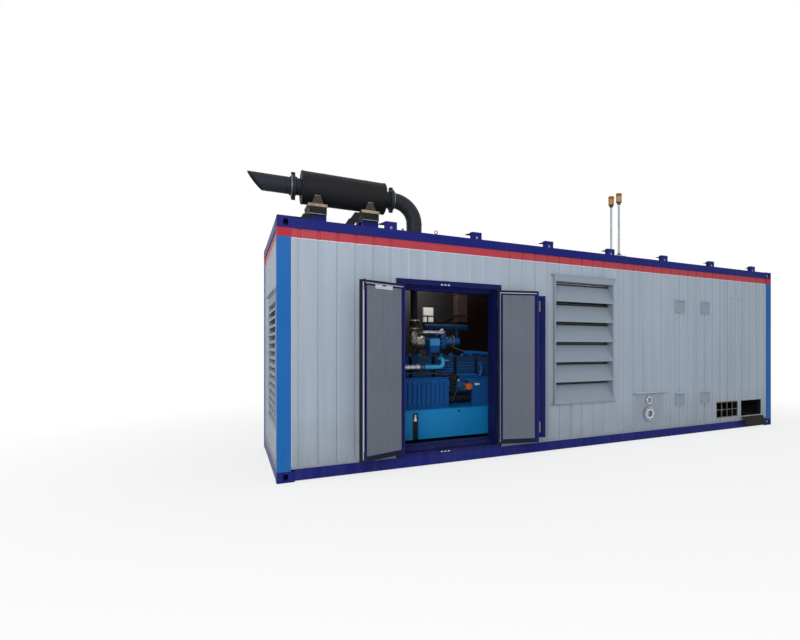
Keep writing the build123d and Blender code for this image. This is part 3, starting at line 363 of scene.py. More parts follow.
def enamel(name, colour, gloss=0.35, dust="6F6E6C", dirt=0.15, band=None, grey=0.04):
    """Alkyd enamel sprayed on blasted steel: glossy, a little wavy, with
    faded clouds, rain streaks and road dust that thickens towards the ground."""
    # Stone chips show the grey primer; drawn 9 mm wide so that they show
    chips = (26, 2, EVEN, 0.7)
    tree, spot, grains = begin(name, (650, 4), (45, 3, (1, 1, 0.06)), chips, (9, 2), (420, 2))
    cloud, streak, chip, peel, waves = grains
    height = add(tree, "SeparateXYZ", {0: spot}, "Z")
    shade = tinted(tree, rgba(colour), (cloud, 0.35, 0.7, grey, "A8ADB5"))
    if band:
        above = add(tree, "Math", {0: height, 1: band[0]}, operation="GREATER_THAN")
        shade = tinted(tree, shade, (above, 0, 1, 1, band[1]))
    low = add(tree, "MapRange", {0: height, 1: 0.0, 2: 0.7, 3: 1.0, 4: 0.12})
    run = add(tree, "MapRange", {0: streak, 1: 0.42, 2: 0.75, 3: 0.0, 4: dirt})
    soil = add(tree, "Math", {0: run, 1: low}, operation="MULTIPLY")
    shade = tinted(tree, shade, (soil, 0, 1, 1, dust), (chip, 0.735, 0.75, 0.6, "5E5A58"))
    rough = (streak, 0.3, 0.8, gloss, gloss + 0.25)
    heights = ((waves, 1.6, 0.5), (peel, 0.12, 0.5))
    end(tree, shade, rough, heights, IOR=1.5, Specular_IOR_Level=0.12)


def wall_sheet(name, colour, band, band_bottom):
    """Polyester coil coating on rolled galvanised sheet: satin, nearly even,
    with faint oil-canning, dust streaks below every edge and grime near the
    ground. The band is brushed over it with a pale edge along its foot. The
    inner side, perforated lining, is painted near-black: partly its own soot
    and dust, partly painted shade of the closed room."""
    clouds = ((1100, 4), (60, 4, (1, 1, 0.035)), (130, 4), (240, 3), (12, 2), (380, 2, (1, 1, 0.5)))
    tree, spot, grains = begin(name, *clouds)
    cloud, streak, splash, soot, peel, canning = grains
    parts = add(tree, "SeparateXYZ", {0: spot}).node.outputs
    sides = []
    for axis, margin in ((0, 0.020), (1, 0.022)):
        middle = (SHELL_LOW[axis] + SHELL_HIGH[axis]) / 2
        half = (SHELL_HIGH[axis] - SHELL_LOW[axis]) / 2 - margin
        off = add(tree, "Math", {0: parts[axis], 1: middle}, operation="SUBTRACT")
        far = add(tree, "Math", {0: off}, operation="ABSOLUTE")
        sides.append(add(tree, "Math", {0: far, 1: half}, operation="GREATER_THAN"))
    outer = add(tree, "Math", {0: sides[0], 1: sides[1]}, operation="MAXIMUM")
    low = add(tree, "MapRange", {0: parts[2], 1: 0.14, 2: 0.75, 3: 0.75, 4: 0.0})
    grime = add(tree, "Math", {0: low, 1: splash}, operation="MULTIPLY")
    edge, above = (
        add(tree, "Math", {0: parts[2], 1: limit}, operation="GREATER_THAN")
        for limit in (band_bottom - 8 * MM, band_bottom)
    )
    worn = tinted(tree, rgba(band), (streak, 0.45, 0.8, 0.35, "8E2C38"))
    shade = tinted(
        tree,
        rgba(colour),
        (cloud, 0.35, 0.65, 0.22, "8D98A6"),
        (streak, 0.45, 0.75, 0.30, "7E8893"),
        (grime, 0, 1, 1, "74756F"),
        (edge, 0, 1, 1, "CDD3DA"),
        (above, 0, 1, 1, worn),
    )
    # Near-black inner faces: partly soot and dust on the lining, partly painted shade of the closed
    # room
    dark = tinted(tree, rgba("141211"), (soot, 0, 1, 1, "241F1E"))
    shade = tinted(tree, dark, (outer, 0, 1, 1, shade))
    heights = ((canning, 1.4, 0.5), (peel, 0.1, 0.35))
    end(tree, shade, (cloud, 0.3, 0.7, 0.4, 0.56), heights, IOR=1.48)


def roof_sheet(name, colour):
    """Coil-coated sheet lying flat: chalked, with dried puddles and soot."""
    tree, _, (puddle, soot) = begin(name, (420, 5), (90, 4))
    layers = (puddle, 0.4, 0.62, 0.7, "7F7D77"), (soot, 0.5, 0.8, 0.6, "56544F")
    heights = ((puddle, 2.0, 0.4), (soot, 0.3, 0.5))
    shade = tinted(tree, rgba(colour), *layers)
    end(tree, shade, (puddle, 0.3, 0.7, 0.45, 0.75), heights, IOR=1.48)


def galvanised(name, colour="A6ACB2", spangle=14.0, rough=0.38):
    """Hot-dip galvanised steel: matt grey zinc in angular crystals that each
    catch the light a little differently, with white bloom in places."""
    tree, spot, (bloom,) = begin(name, (70, 4))
    crystal = {"Vector": spot, "Scale": 1000 / spangle}
    crystal = add(tree, "TexVoronoi", crystal, "Color", feature="F1")
    tone = add(tree, "SeparateColor", {0: crystal})
    layers = (tone, 0, 1, 0.45, "7F868D"), (bloom, 0.55, 0.75, 0.5, "C6C8C9")
    shade = tinted(tree, rgba(colour), *layers)
    end(tree, shade, (tone, 0, 1, rough, rough + 0.2), ((bloom, 0.15, 0.5),), Metallic=0.85)


def bright_steel(name, colour="C4C6C9", rough=0.28):
    """Turned or rolled stainless steel: fine lines along the work that draw
    the highlight out, and small dull handling marks."""
    tree, _, (lines, marks) = begin(name, (7, 2, (1, 1, 0.08)), (35, 4))
    shade = tinted(tree, rgba(colour), (marks, 0.5, 0.8, 0.5, "83868B"))
    dull = (marks, 0.3, 0.8, rough, rough + 0.22)
    end(tree, shade, dull, ((lines, 0.05, 0.5),), Metallic=1.0)


def heat_paint(name, colour):
    """Silicone heat paint over steel, stove-dried: flat black, chalky grey
    where heat and rain have worked on it, with thin rust below the seams."""
    tree, _, (cloud, fine) = begin(name, (260, 5), (22, 4))
    layers = (cloud, 0.4, 0.75, 0.4, "2C2D31"), (fine, 0.62, 0.74, 0.45, "4A3226")
    shade = tinted(tree, rgba(colour), *layers)
    heights = ((cloud, 1.5, 0.35), (fine, 0.35, 0.5))
    dull = (cloud, 0.3, 0.7, 0.5, 0.68)
    end(tree, shade, dull, heights, IOR=1.5, Specular_IOR_Level=0.2)


def rusty_plate(name, colour="A59A86", rust="6B4A30"):
    """Mild steel plate with worn stone-coloured primer: rust comes through
    in blooms and runs."""
    tree, _, (bloom, run) = begin(name, (60, 6, EVEN, 0.65), (18, 3, (1, 1, 0.2)))
    layers = (bloom, 0.48, 0.62, 0.85, rust), (run, 0.55, 0.8, 0.5, "3F352B")
    shade = tinted(tree, rgba(colour), *layers)
    end(tree, shade, (bloom, 0.3, 0.7, 0.6, 0.85), ((bloom, 0.5, 0.6),))


def moulded(name, colour, rough=0.42, dust=0.2):
    """Injection-moulded ABS: even colour, soft shine, spark-eroded grain and
    handling dust."""
    tree, _, (fine, film) = begin(name, (6, 2), (90, 4))
    shade = tinted(tree, rgba(colour), (film, 0.45, 0.8, dust, "6F6B64"))
    end(tree, shade, (film, 0.3, 0.7, rough, rough + 0.18), ((fine, 0.1, 0.5),), IOR=1.53)


def lens(name, colour):
    """Moulded polycarbonate lens: deep clear amber with a bright gloss."""
    tree, _, (glow,) = begin(name, (30, 2))
    shade = tinted(tree, rgba(colour), (glow, 0.3, 0.75, 0.6, "9C5A10"))
    clear = {"IOR": 1.586, "Transmission_Weight": 0.25}
    clear |= {"Coat_Weight": 0.4, "Coat_Roughness": 0.08}
    end(tree, shade, (glow, 0.3, 0.7, 0.12, 0.22), ((glow, 0.3, 0.4),), **clear)


def rubber(name, colour="0C0C0D", dust=0.15, over=None):
    """Moulded EPDM rubber: matt black with a faint sheen and grey dust lying
    in its pores. Past a limit along a leaf it can be painted over, and a worn
    pale line can run up the seal beside the leaf's free edge."""
    tree, spot, (pores, film) = begin(name, (14, 4), (160, 4))
    shade = tinted(tree, rgba(colour), (film, 0.45, 0.8, dust, "4A4845"))
    if over:
        along, limit, way, line_limit = over
        direction = {0: spot, 1: (*along, 0.0)}
        flat = add(tree, "VectorMath", direction, "Value", operation="DOT_PRODUCT")
        if line_limit is not None:
            height = add(tree, "SeparateXYZ", {0: spot}, "Z")
            line = add(tree, "Math", {0: flat, 1: line_limit}, operation="LESS_THAN")
            for stop, side in ((0.2205, "GREATER_THAN"), (2.204, "LESS_THAN")):
                near = add(tree, "Math", {0: height, 1: stop}, operation=side)
                line = add(tree, "Math", {0: line, 1: near}, operation="MULTIPLY")
            shade = tinted(tree, shade, (line, 0, 1, 1, "BCC4CE"))
        past = add(tree, "Math", {0: flat, 1: limit}, operation=way)
        shade = tinted(tree, shade, (past, 0, 1, 1, "0F1960"))
    heights = ((film, 2.0, 0.4), (pores, 0.25, 0.5))
    dull = (film, 0.3, 0.7, 0.55, 0.75)
    end(tree, shade, dull, heights, IOR=1.52, Specular_IOR_Level=0.2)


def perforated_lining(name, colour, along):
    """Powder-coated perforated sheet over mineral wool: a matt grey face with
    rows of round holes. The 3 mm holes are drawn 6 mm wide and 14 mm apart,
    so that they show as a texture and don't vanish."""
    tree, spot, (cloud, streak) = begin(name, (300, 4), (40, 4, (1, 1, 0.2)))
    height = add(tree, "SeparateXYZ", {0: spot}, "Z")
    direction = {0: spot, 1: (*along, 0.0)}
    flat = add(tree, "VectorMath", direction, "Value", operation="DOT_PRODUCT")
    cells = []
    for value in (flat, height):
        for way, number in (("MULTIPLY", 1 / 0.014), ("FRACT", 0), ("SUBTRACT", 0.5), ("POWER", 2)):
            value = add(tree, "Math", {0: value, 1: number}, operation=way)
        cells.append(value)
    away = add(tree, "Math", {0: cells[0], 1: cells[1]}, operation="ADD")
    hole = add(tree, "MapRange", {0: away, 1: 0.035, 2: 0.055, 3: 1.0, 4: 0.0})
    depth = add(tree, "Math", {0: 1.0, 1: hole}, operation="SUBTRACT")
    shade = tinted(
        tree,
        rgba(colour),
        (cloud, 0.35, 0.7, 0.3, "585C68"),
        (hole, 0, 1, 0.55, "23252B"),
        (streak, 0.55, 0.8, 0.3, "4A4842"),
    )
    end(tree, shade, (cloud, 0.3, 0.7, 0.5, 0.65), ((depth, 0.8, 0.5),))


def foil_wrap(name):
    """Aluminised glass cloth, crumpled round the hot parts by hand: bright
    facets between sharp creases, dulled by heat in places."""
    tree, spot, (fine,) = begin(name, (12, 3))
    facets = {"Vector": spot, "Scale": 34.0}
    crease = add(tree, "TexVoronoi", facets, feature="DISTANCE_TO_EDGE")
    ridge = add(tree, "MapRange", {0: crease, 1: 0.0, 2: 0.25, 3: 1.0, 4: 0.0})
    shade = tinted(tree, rgba("A9A49D"), (fine, 0.4, 0.8, 0.6, "554D46"))
    heights = ((fine, 1.2, 0.5), (ridge, 5.0, 0.7))
    end(tree, shade, (fine, 0.3, 0.7, 0.28, 0.5), heights, Metallic=0.95)


def floor_plate(name):
    """Hot-rolled chequer plate, oily and trodden: dark mill scale with bright
    worn lozenges, drawn 30 mm long."""
    tree, spot, (oil,) = begin(name, (180, 5))
    brick = {"Vector": spot, "Scale": 24.0, "Mortar Size": 0.03}
    lozenge = add(tree, "TexBrick", brick, "Fac")
    layers = (oil, 0, 1, 1, "4A4744"), (lozenge, 0, 1, 0.35, "77777A")
    shade = tinted(tree, rgba("2A2A2C"), *layers)
    end(tree, shade, (oil, 0.3, 0.7, 0.3, 0.6), ((lozenge, 1.0, 0.5),), Metallic=0.6)


SHELL_LOW, SHELL_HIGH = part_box("corner_posts")
# Hinge lines and the directions of the leaves at rest, from hinge to free edge
LEFT_HINGE = (1276.0, -93.0)
RIGHT_HINGE = (2557.0, -93.0)
LEFT_ALONG = (math.cos(math.radians(-157)), math.sin(math.radians(-157)))
RIGHT_ALONG = (-math.cos(math.radians(163)), -math.sin(math.radians(163)))


def along_leaf(along, hinge, millimetres):
    """What a point so far from its hinge measures along a leaf, in metres."""
    return (along[0] * hinge[0] + along[1] * hinge[1] + millimetres) * MM


def material(name):
    """The material of that name, made the first time that it is asked for."""
    found = bpy.data.materials.get(name)
    if found:
        return found
    scene = bpy.context.scene
    paint, sizes = scene.genset_colours, scene.genset_sizes
    band = (sizes.band_bottom, tuple(paint.band))
    left_paint = along_leaf(LEFT_ALONG, LEFT_HINGE, 31.0)
    left_line = along_leaf(LEFT_ALONG, LEFT_HINGE, 597.0)
    right_paint = along_leaf(RIGHT_ALONG, RIGHT_HINGE, 530.0)
    left_over = (LEFT_ALONG, left_paint, "LESS_THAN", left_line)
    right_over = (RIGHT_ALONG, right_paint, "GREATER_THAN", None)
    dust, black = "6F6E6C", "0C0C0D"
    recipes = {
        "Enamel, frame blue": (enamel, paint.frame, 0.34, dust, 0.12, None, 0.02),
        "Enamel, door blue": (enamel, "0A1250", 0.36, dust, 0.08, None, 0.02),
        "Enamel, post blue": (enamel, paint.post, 0.36, dust, 0.15, band, 0.03),
        "Enamel, skid blue": (enamel, paint.skid, 0.3, dust, 0.1, None, 0.02),
        "Enamel, engine blue": (enamel, paint.engine, 0.36, "2B2723", 0.4, None, 0.02),
        "Enamel, light engine blue": (enamel, "3E9BD0", 0.3, dust, 0.1),
        # Engine blue darkened for the cylinder heads and manifold: painted shade over the top of
        # the engine
        "Enamel, dark engine blue": (enamel, "0A2E52", 0.4, "1C1A18", 0.5),
        "Enamel, filter orange": (enamel, "CE661D", 0.3, dust, 0.15, None, 0.02),
        "Coil-coated wall sheet": (wall_sheet, paint.wall, paint.band, sizes.band_bottom),
        "Coil-coated roof sheet": (roof_sheet, "9AA3AC"),
        "Coil-coated plate": (enamel, "98A2AE", 0.42, "6E6F6B", 0.2, None, 0.05),
        "Powder-coated louvre grey": (enamel, "929CA8", 0.42, "6E6F6B", 0.25, None, 0.05),
        "Powder-coated trim, pale": (enamel, "BCC4CE", 0.42, "7C7B74", 0.2),
        "Perforated lining, left": (perforated_lining, paint.lining, LEFT_ALONG),
        "Perforated lining, right": (perforated_lining, paint.lining, RIGHT_ALONG),
        "Galvanised steel": (galvanised,),
        "Zinc-plated screws": (galvanised, "8F959B", 9, 0.3),
        "Weathered zinc": (galvanised, "6A655E", 9, 0.5),
        # Pale finish of the strips that paint a highlight along each groove
        "Sheet edge, bare": (enamel, "D3DAE2", 0.4, "8B9096", 0.15, None, 0.02),
        "Stainless steel": (bright_steel,),
        "Brass bellows": (bright_steel, "7D6028", 0.36),
        "Heat paint, black": (heat_paint, paint.exhaust),
        "Heat paint, sooty grey": (heat_paint, "262A33"),
        "Primed plate, rusting": (rusty_plate, "B9A583"),
        "Cast iron, sooty": (rusty_plate, "2E2C2A", "3A332B"),
        "Brown duct, primed": (rusty_plate, "2C1B13", "3A241A"),
        "Oxide red panel": (enamel, "1D0C0C", 0.5, "141010", 0.3, None, 0.01),
        "EPDM rubber": (rubber,),
        "EPDM rubber, left leaf": (rubber, black, 0.15, left_over),
        "EPDM rubber, right leaf": (rubber, black, 0.15, right_over),
        "Aluminised glass cloth": (foil_wrap,),
        "Moulded ABS, white": (moulded, "F1EDE2", 0.42, 0.08),
        "Moulded ABS, black": (moulded, "1A1A1C", 0.5),
        "Beacon lens": (lens, paint.beacon),
        "Beacon cap": (moulded, "4A2114", 0.35),
        "Chequer plate": (floor_plate,),
    }
    if name not in recipes:
        raise RuntimeError(f"There is no finish called {name}")
    maker, *settings = recipes[name]
    maker(name, *settings)
    return bpy.data.materials[name]


def coat(name, *nodes):
    """Gives CAD nodes a finish."""
    for node in nodes:
        mesh = frame["nodes"][node].data
        mesh.materials.clear()
        mesh.materials.append(material(name))


# Pieces

FRONT, BACK = (0, -1, 0), (0, 1, 0)
LEFT, RIGHT = (-1, 0, 0), (1, 0, 0)
DOWN, UP = (0, 0, -1), (0, 0, 1)
# Faces on the service side, as y
CLADDING_Y = -69.0
PANEL_Y = -75.0
COVER_Y = -85.0
# Spacing of the grooves in the wall sheet, and the first one from the left end
GROOVE_PITCH = 201.5
GROOVE_FIRST = 225.0
# Centre lines of fittings
FLANGE_X, GAS_Z, DRAIN_Z = 5275.0, 416.0, 628.0
COVERS_X, COVERS_Z = (5993.0, 6600.0), (607.0, 2155.0)
BRACKETS_X = [1145.0 + 1120.5 * i for i in range(7)]
SUPPORTS_X = (465.0, 1139.0)
MAST_X, MASTS_Y = 4711.0, (-21.0, 164.0)
# The silencer, the riser and the mixer lie in the middle plane of the set
MIDDLE_Y, SILENCER_Z, RISER_X, MIXER_Z = 1138.0, 3585.0, 1811.0, 1565.0
# The engine's front face, its gas pipe and its oil filter
BLOCK_Y = 729.0
PIPE_Y, PIPE_Z = 639.0, 1200.0
FILTER_X, FILTER_Z = 2481.0, 905.0
# Front face and lower corner of the control boxes
BOX_Y, BOX_X, BOX_Z = 2187.0, 2306.0, 1905.0
# The louvre bay of the service side
BAY_LEFT, BAY_RIGHT, BAY_FACE = 3462.0, 4543.0, -111.0


class GENSET_OT_container_finish(bpy.types.Operator):
    """Paints the frame, walls, roof and floor of the container"""

    bl_idname = "genset.container_finish"
    bl_label = "Container finish"

    def execute(self, context):
        for name, nodes in (
            ("Enamel, frame blue", "base_rails top_rails bottom_castings top_castings"),
            ("Enamel, frame blue", "floor_joists roof_brackets silencer_posts roof_collar"),
            ("Enamel, door blue", "door_frame door_hinge_posts"),
            ("Enamel, post blue", "corner_posts"),
            ("Coil-coated wall sheet", "front_wall_left front_wall_over_door front_wall_middle"),
            ("Coil-coated wall sheet", "front_wall_louvre_bay front_wall_right rear_wall"),
            ("Coil-coated wall sheet", "left_end_wall right_end_wall"),
            ("Coil-coated roof sheet", "roof_panel"),
            ("Chequer plate", "floor_deck"),
            ("Powder-coated louvre grey", "front_louvre end_louvres wall_covers"),
            ("Coil-coated plate", "connection_panel"),
            ("Weathered zinc", "cable_grille"),
            ("Galvanised steel", "gas_flange drain_flange beacon_masts"),
        ):
            coat(name, *nodes.split())
        return {"FINISHED"}


class GENSET_OT_weld_beads(bpy.types.Operator):
    """Weld beads between castings, rails and posts"""

    bl_idname = "genset.weld_beads"
    bl_label = "Weld beads"

    def execute(self, context):
        radius = context.scene.genset_sizes.weld / MM
        posts_low, posts_high = cad("corner_posts")
        rail_z = cad("base_rails")[0].z
        top_low, top_high = cad("top_rails")
        casting_x, casting_y, casting_z = 178.0, 162.0, 118.0
        shape = Shape()

        def bead(a, b):
            """An uneven bead between two points."""
            a, b = Vector(a), Vector(b)
            steps = max(4, int((b - a).length / 9))
            points = [a.lerp(b, i / steps) for i in range(steps + 1)]
            sizes = [radius * (0.75 + 0.5 * noise.noise(p * 0.11)) for p in points]
            shape.rod(points, sizes, 6)

        for y, inward in ((posts_low.y, 1), (posts_high.y, -1)):
            for x, along in ((posts_low.x, 1), (posts_high.x, -1)):
                for z in (casting_z, top_low.z):
                    bead((x, y, z), (x + along * 140, y, z))
                    bead((x, y, z), (x, y + inward * 120, z))
                side_x, side_y = x + along * casting_x, y + inward * casting_y
                bead((side_x, y, rail_z + 4), (side_x, y, casting_z))
                bead((side_x, y, top_low.z), (side_x, y, top_high.z))
                bead((x, side_y, top_low.z), (x, side_y, top_high.z))
        place(shape, "weld_beads", "Enamel, frame blue", slot="frame_blue")
        return {"FINISHED"}


class GENSET_OT_wall_trim(bpy.types.Operator):
    """Flashings round the cladding and the rows of wall screws"""

    bl_idname = "genset.wall_trim"
    bl_label = "Wall trim and screws"

    def execute(self, context):
        posts_low, posts_high = cad("corner_posts")
        frame_low, frame_high = cad("door_frame")
        ledge = cad("base_rails")[1].z
        left, right = posts_low.x, posts_high.x
        front, back = posts_low.y + 12, posts_high.y - 12
        band = context.scene.genset_sizes.band_bottom / MM
        post_x, post_y = 140.0, 108.0
        sill = Shape()
        for start, end, out in (
            ((left + post_x, front), (frame_low.x, front), FRONT),
            ((frame_high.x, front), (right - post_x, front), FRONT),
            ((left + post_x, back), (right - post_x, back), BACK),
            ((left + 12, front + post_y), (left + 12, back - post_y), LEFT),
            ((right - 12, front + post_y), (right - 12, back - post_y), RIGHT),
        ):
            # A drip strip: how far out and how high its outline's corners are
            corners = ((0, 30), (1.5, 30), (1.5, 9), (11, 3.5), (11, 2), (0, 7.5))
            start, end = Vector((*start, ledge)), Vector((*end, ledge))
            outline = [start + Vector(out) * u + Vector(UP) * v for u, v in corners]
            sill.prism(outline, end - start)
        place(sill, "base_flashing", "Powder-coated louvre grey", slot="wall_grey")

        strips = Shape()
        z0, z1 = ledge + 30, band
        for x in (left + post_x, right - post_x - 14):
            strips.bar((x, front - 2, z0), (x + 14, front, z1))
            strips.bar((x, back, z0), (x + 14, back + 2, z1))
        for y in (front + post_y, back - post_y - 14):
            strips.bar((left + 10, y, z0), (left + 12, y + 14, z1))
            strips.bar((right - 12, y, z0), (right - 10, y + 14, z1))
        place(strips, "corner_flashing", "Powder-coated trim, pale", slot="wall_grey")

        # Pale strips along one side of every groove: painted highlights where the groove edges
        # catch the light
        seams = Shape()
        # Openings that end a joint: their left, right and top
        openings = (
            (frame_low.x, frame_high.x, frame_high.z + 4),
            (3417.0, 4588.0, 2530.0),
            (6870.0, 7480.0, 520.0),
            (7540.0, 8145.0, 512.0),
        )
        for i in range(41):
            x = left + GROOVE_FIRST + GROOVE_PITCH * i + 13
            if x > right - 150:
                continue
            low = ledge + 31
            above = [low] + [top for x0, x1, top in openings if x0 - 4 < x < x1 + 4]
            for y, out, foot in ((front, -1.4, above[-1]), (back, 1.4, low)):
                outline = [(x, y, foot), (x + 3, y, foot), (x + 1.5, y + out, foot)]
                seams.prism(outline, (0, 0, band - 6 - foot))
        place(seams, "groove_painted_highlights", "Sheet edge, bare", slot="wall_grey")

        screws = Shape()
        washer = context.scene.genset_sizes.screw / MM
        low_z, high_z, end_z = ledge + 52, 2664.0, 2640.0
        blocked = ((1150, 2700), (4960, 5720), (7500, 8160))
        for i in range(40):
            x = left + GROOVE_FIRST + GROOVE_PITCH * (i + 0.5)
            if x > right - 190:
                continue
            if not any(a < x < b for a, b in blocked):
                screws.screw((x, front, low_z), FRONT, washer)
            if not frame_low.x < x < frame_high.x:
                screws.screw((x, front, high_z), FRONT, washer)
            screws.screws((x,), (back,), (low_z, high_z), BACK, washer)
        middle = (front + back) / 2
        rows = [middle + GROOVE_PITCH * (i + 0.5) for i in range(-5, 5)]
        heights = [271 + 225 * i for i in range(11)]
        for x, out in ((left + 12, LEFT), (right - 12, RIGHT)):
            screws.screws((x,), rows, (low_z, end_z), out, washer)
            screws.screws((x,), (1560.0, back - 134), heights, out, washer)
        # Two small hooks near the right end
        for x in (7279.0, 7471.0):
            hook = [(x, front, 2350), (x, front - 14, 2350), (x, front - 14, 2372)]
            screws.rod(hook, 4, 8)
            screws.spun([(0, 14), (3, 14), (4, 10)], (x, front, 2350), FRONT, 16)
        place(screws, "wall_screws", "Zinc-plated screws", slot="galvanised")
        return {"FINISHED"}


class GENSET_OT_roof_fittings(bpy.types.Operator):
    """Roof seams, bracket plates, lifting eye and stud"""

    bl_idname = "genset.roof_fittings"
    bl_label = "Roof fittings"

    def execute(self, context):
        low, high = cad("roof_panel")
        brackets_low, brackets_high = cad("roof_brackets")
        front, back = brackets_low.y, brackets_high.y
        top = cad("top_rails")[1].z
        seams = Shape()
        sheets = 15
        # Where the supports, the collar and the masts stand
        taken = ((330, 600), (1000, 1270), (1600, 2020), (4580, 4830))
        for i in range(1, sheets):
            x = low.x + (high.x - low.x) * i / sheets
            if any(a < x < b for a, b in taken):
                continue
            corners = ((-18, 0), (-6, 11), (6, 11), (18, 0))
            outline = [(x + dx, low.y, high.z + dz) for dx, dz in corners]
            seams.prism(outline, (0, high.y - low.y, 0))
        place(seams, "roof_seams", "Coil-coated roof sheet", slot="wall_grey")

        holes, gussets = Shape(), Shape()
        for x in BRACKETS_X:
            for y, out in ((front, FRONT), (back, BACK)):
                edge = y + out[1] * 0.8
                holes.spun([(0, 13), (0.8, 13)], (x, y, top + 16), out, 20)
                holes.bar((x - 13, min(y, edge), top), (x + 13, max(y, edge), top + 16))
            for y in (front + 4, back - 10):
                corners = ((-128, 54), (-70, 86), (-70, 30), (-96, 46))
                gussets.prism([(x + dx, y, top + dz) for dx, dz in corners], (0, 6, 0))
        place(holes, "bracket_drain_holes", "Powder-coated trim, pale", slot="wall_grey")
        place(gussets, "bracket_gussets", "Enamel, door blue", slot="frame_blue", bevel=1)

        eye = Shape()
        at = Vector((1719, front + 35, top))
        eye.spun([(0, 18), (4, 18), (5, 8), (12, 7)], at, UP, 20)
        loop = [at + Vector((s, 0, 31 - c)) for c, s in circle(24, 19)]
        eye.rod(loop, 5.5, 10, closed=True)
        stud = (1295, front + 35, top)
        eye.rod([stud, (*stud[:2], top + 34)], 6, 12)
        eye.spun([(0, 15), (22, 15), (24, 10)], stud, UP, 6)
        eye.spun([(0, 9), (6, 9)], (*stud[:2], top + 26), UP, 6)
        place(eye, "roof_eye_and_stud", "Weathered zinc", slot="galvanised")
        return {"FINISHED"}


class GENSET_OT_doorway(bpy.types.Operator):
    """Strike plates, frame welds and reveals of the doorway"""

    bl_idname = "genset.doorway"
    bl_label = "Doorway fittings"

    def execute(self, context):
        low, high = cad("door_frame")
        plates = Shape()
        for z0, z1 in ((2248.0, 2274.0), (150.0, 172.0)):
            for x in (1785, 1831, 1877):
                plates.bar((x - 14, low.y - 2, z0 + 5), (x + 14, low.y, z1 - 5))
                plates.screw((x, low.y - 2, (z0 + z1) / 2), FRONT, 6, 4, 3)
        place(plates, "strike_plates", "Stainless steel", slot="fitting_steel", bevel=0.6)

        reveal = Shape()
        x0, x1, head, sill = 1272, 2561, 2245, 164
        for a, b in (
            ((x0 - 39, 22, 179.5), (x0, 200, head)),
            ((x1, 22, 179.5), (x1 + 39, 200, head)),
            ((x0, 22, head - 53), (x1, 150, head)),
            ((x0, 60, sill), (x1, 150, 258)),
            ((x0, 22, sill), (x1, 60, 236)),
        ):
            reveal.bar(a, b)
        place(reveal, "doorway_reveals", "Enamel, door blue", slot="frame_blue", bevel=2)

        seams = Shape()
        for x, way in ((low.x, 1), (high.x, -1)):
            seams.rod([(x, low.y, high.z), (x + way * 65, low.y, high.z - 65)], 1.6, 6)
        place(seams, "frame_mitres", "Enamel, door blue", slot="frame_blue")
        return {"FINISHED"}


# The leaves are drawn closed, along their own axes: distance from the hinge,
# depth into the room and height
LEAF_BOTTOM, LEAF_TOP = 194.5, 2230.0


def leaf_turn(side):
    """Matrix from a leaf's own axes to the frame; side is left or right."""
    if side == "left":
        along, hinge, inward = LEFT_ALONG, LEFT_HINGE, 1
    else:
        along, hinge, inward = RIGHT_ALONG, RIGHT_HINGE, -1
    along = Vector((*along, 0))
    depth = Vector((-along.y, along.x, 0)) * inward
    turn = Matrix.Identity(4)
    for row in range(3):
        turn[row][0], turn[row][1], turn[row][2] = along[row], depth[row], UP[row]
        turn[row][3] = (*hinge, 0)[row]
    return turn


def leaf_dressing(side, panel_end, body):
    """Lining, edging, screws and hinge caps of one door leaf."""
    turn = leaf_turn(side)
    pitch = bpy.context.scene.genset_sizes.rib_pitch / MM
    border, flat = 62.0, 66.4
    u0, u1 = 66.0, panel_end - border
    z0, z1 = LEAF_BOTTOM + border, LEAF_TOP - border
    lining = Shape(turn)
    ribs = int((u1 - u0 - 10) / pitch)
    step = (u1 - u0 - 10) / ribs
    # One rib: how far along its step and how deep its outline's corners are
    rib = ((0.3, 66.6), (0.42, 68.8), (0.78, 68.8), (0.9, 66.6))
    profile = [(u0, flat), (u0 + 5, flat)]
    for i in range(ribs):
        profile += [(u0 + 5 + step * (i + t), v) for t, v in rib]
    profile += [(u1, flat), (u1, 66.05), (u0, 66.05)]
    lining.prism([(u, v, z0) for u, v in profile], (0, 0, z1 - z0))
    piece = place(lining, f"{side}_leaf_lining", f"Perforated lining, {side}", body, "lining_grey")
    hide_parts(f"{side}_door_lining")

    edging = Shape(turn)
    upright = (panel_end - 36, panel_end - 27) if side == "left" else (27, 36)
    edging.bar((30, 50, LEAF_TOP - 38), (panel_end - 27, 53, LEAF_TOP - 27))
    edging.bar((upright[0], 50, LEAF_BOTTOM + 27), (upright[1], 53, LEAF_TOP - 38))
    place(edging, f"{side}_leaf_edging", "Powder-coated trim, pale", body, "wall_grey", 0.8)

    screws = Shape(turn)
    small = (6, 4, 3)
    screws.screws((u0 - 7, u1 + 7), (66,), evenly(z0 + 8, z1 - 8, 10), BACK, *small)
    screws.screws((u0 + 60, (u0 + u1) / 2, u1 - 60), (66,), (z0 - 7, z1 + 7), BACK, *small)
    for z in (384.5, 1212.25, 2040.0):
        screws.screws((26, 42), (7,), (z + 28,), FRONT, 6, 4.5, 3)
        screws.spun([(0, 11), (3, 11), (5, 7)], (0, 0, z + 56), UP, 20)
    place(screws, f"{side}_leaf_screws", "Enamel, door blue", body, "galvanised")
    return turn


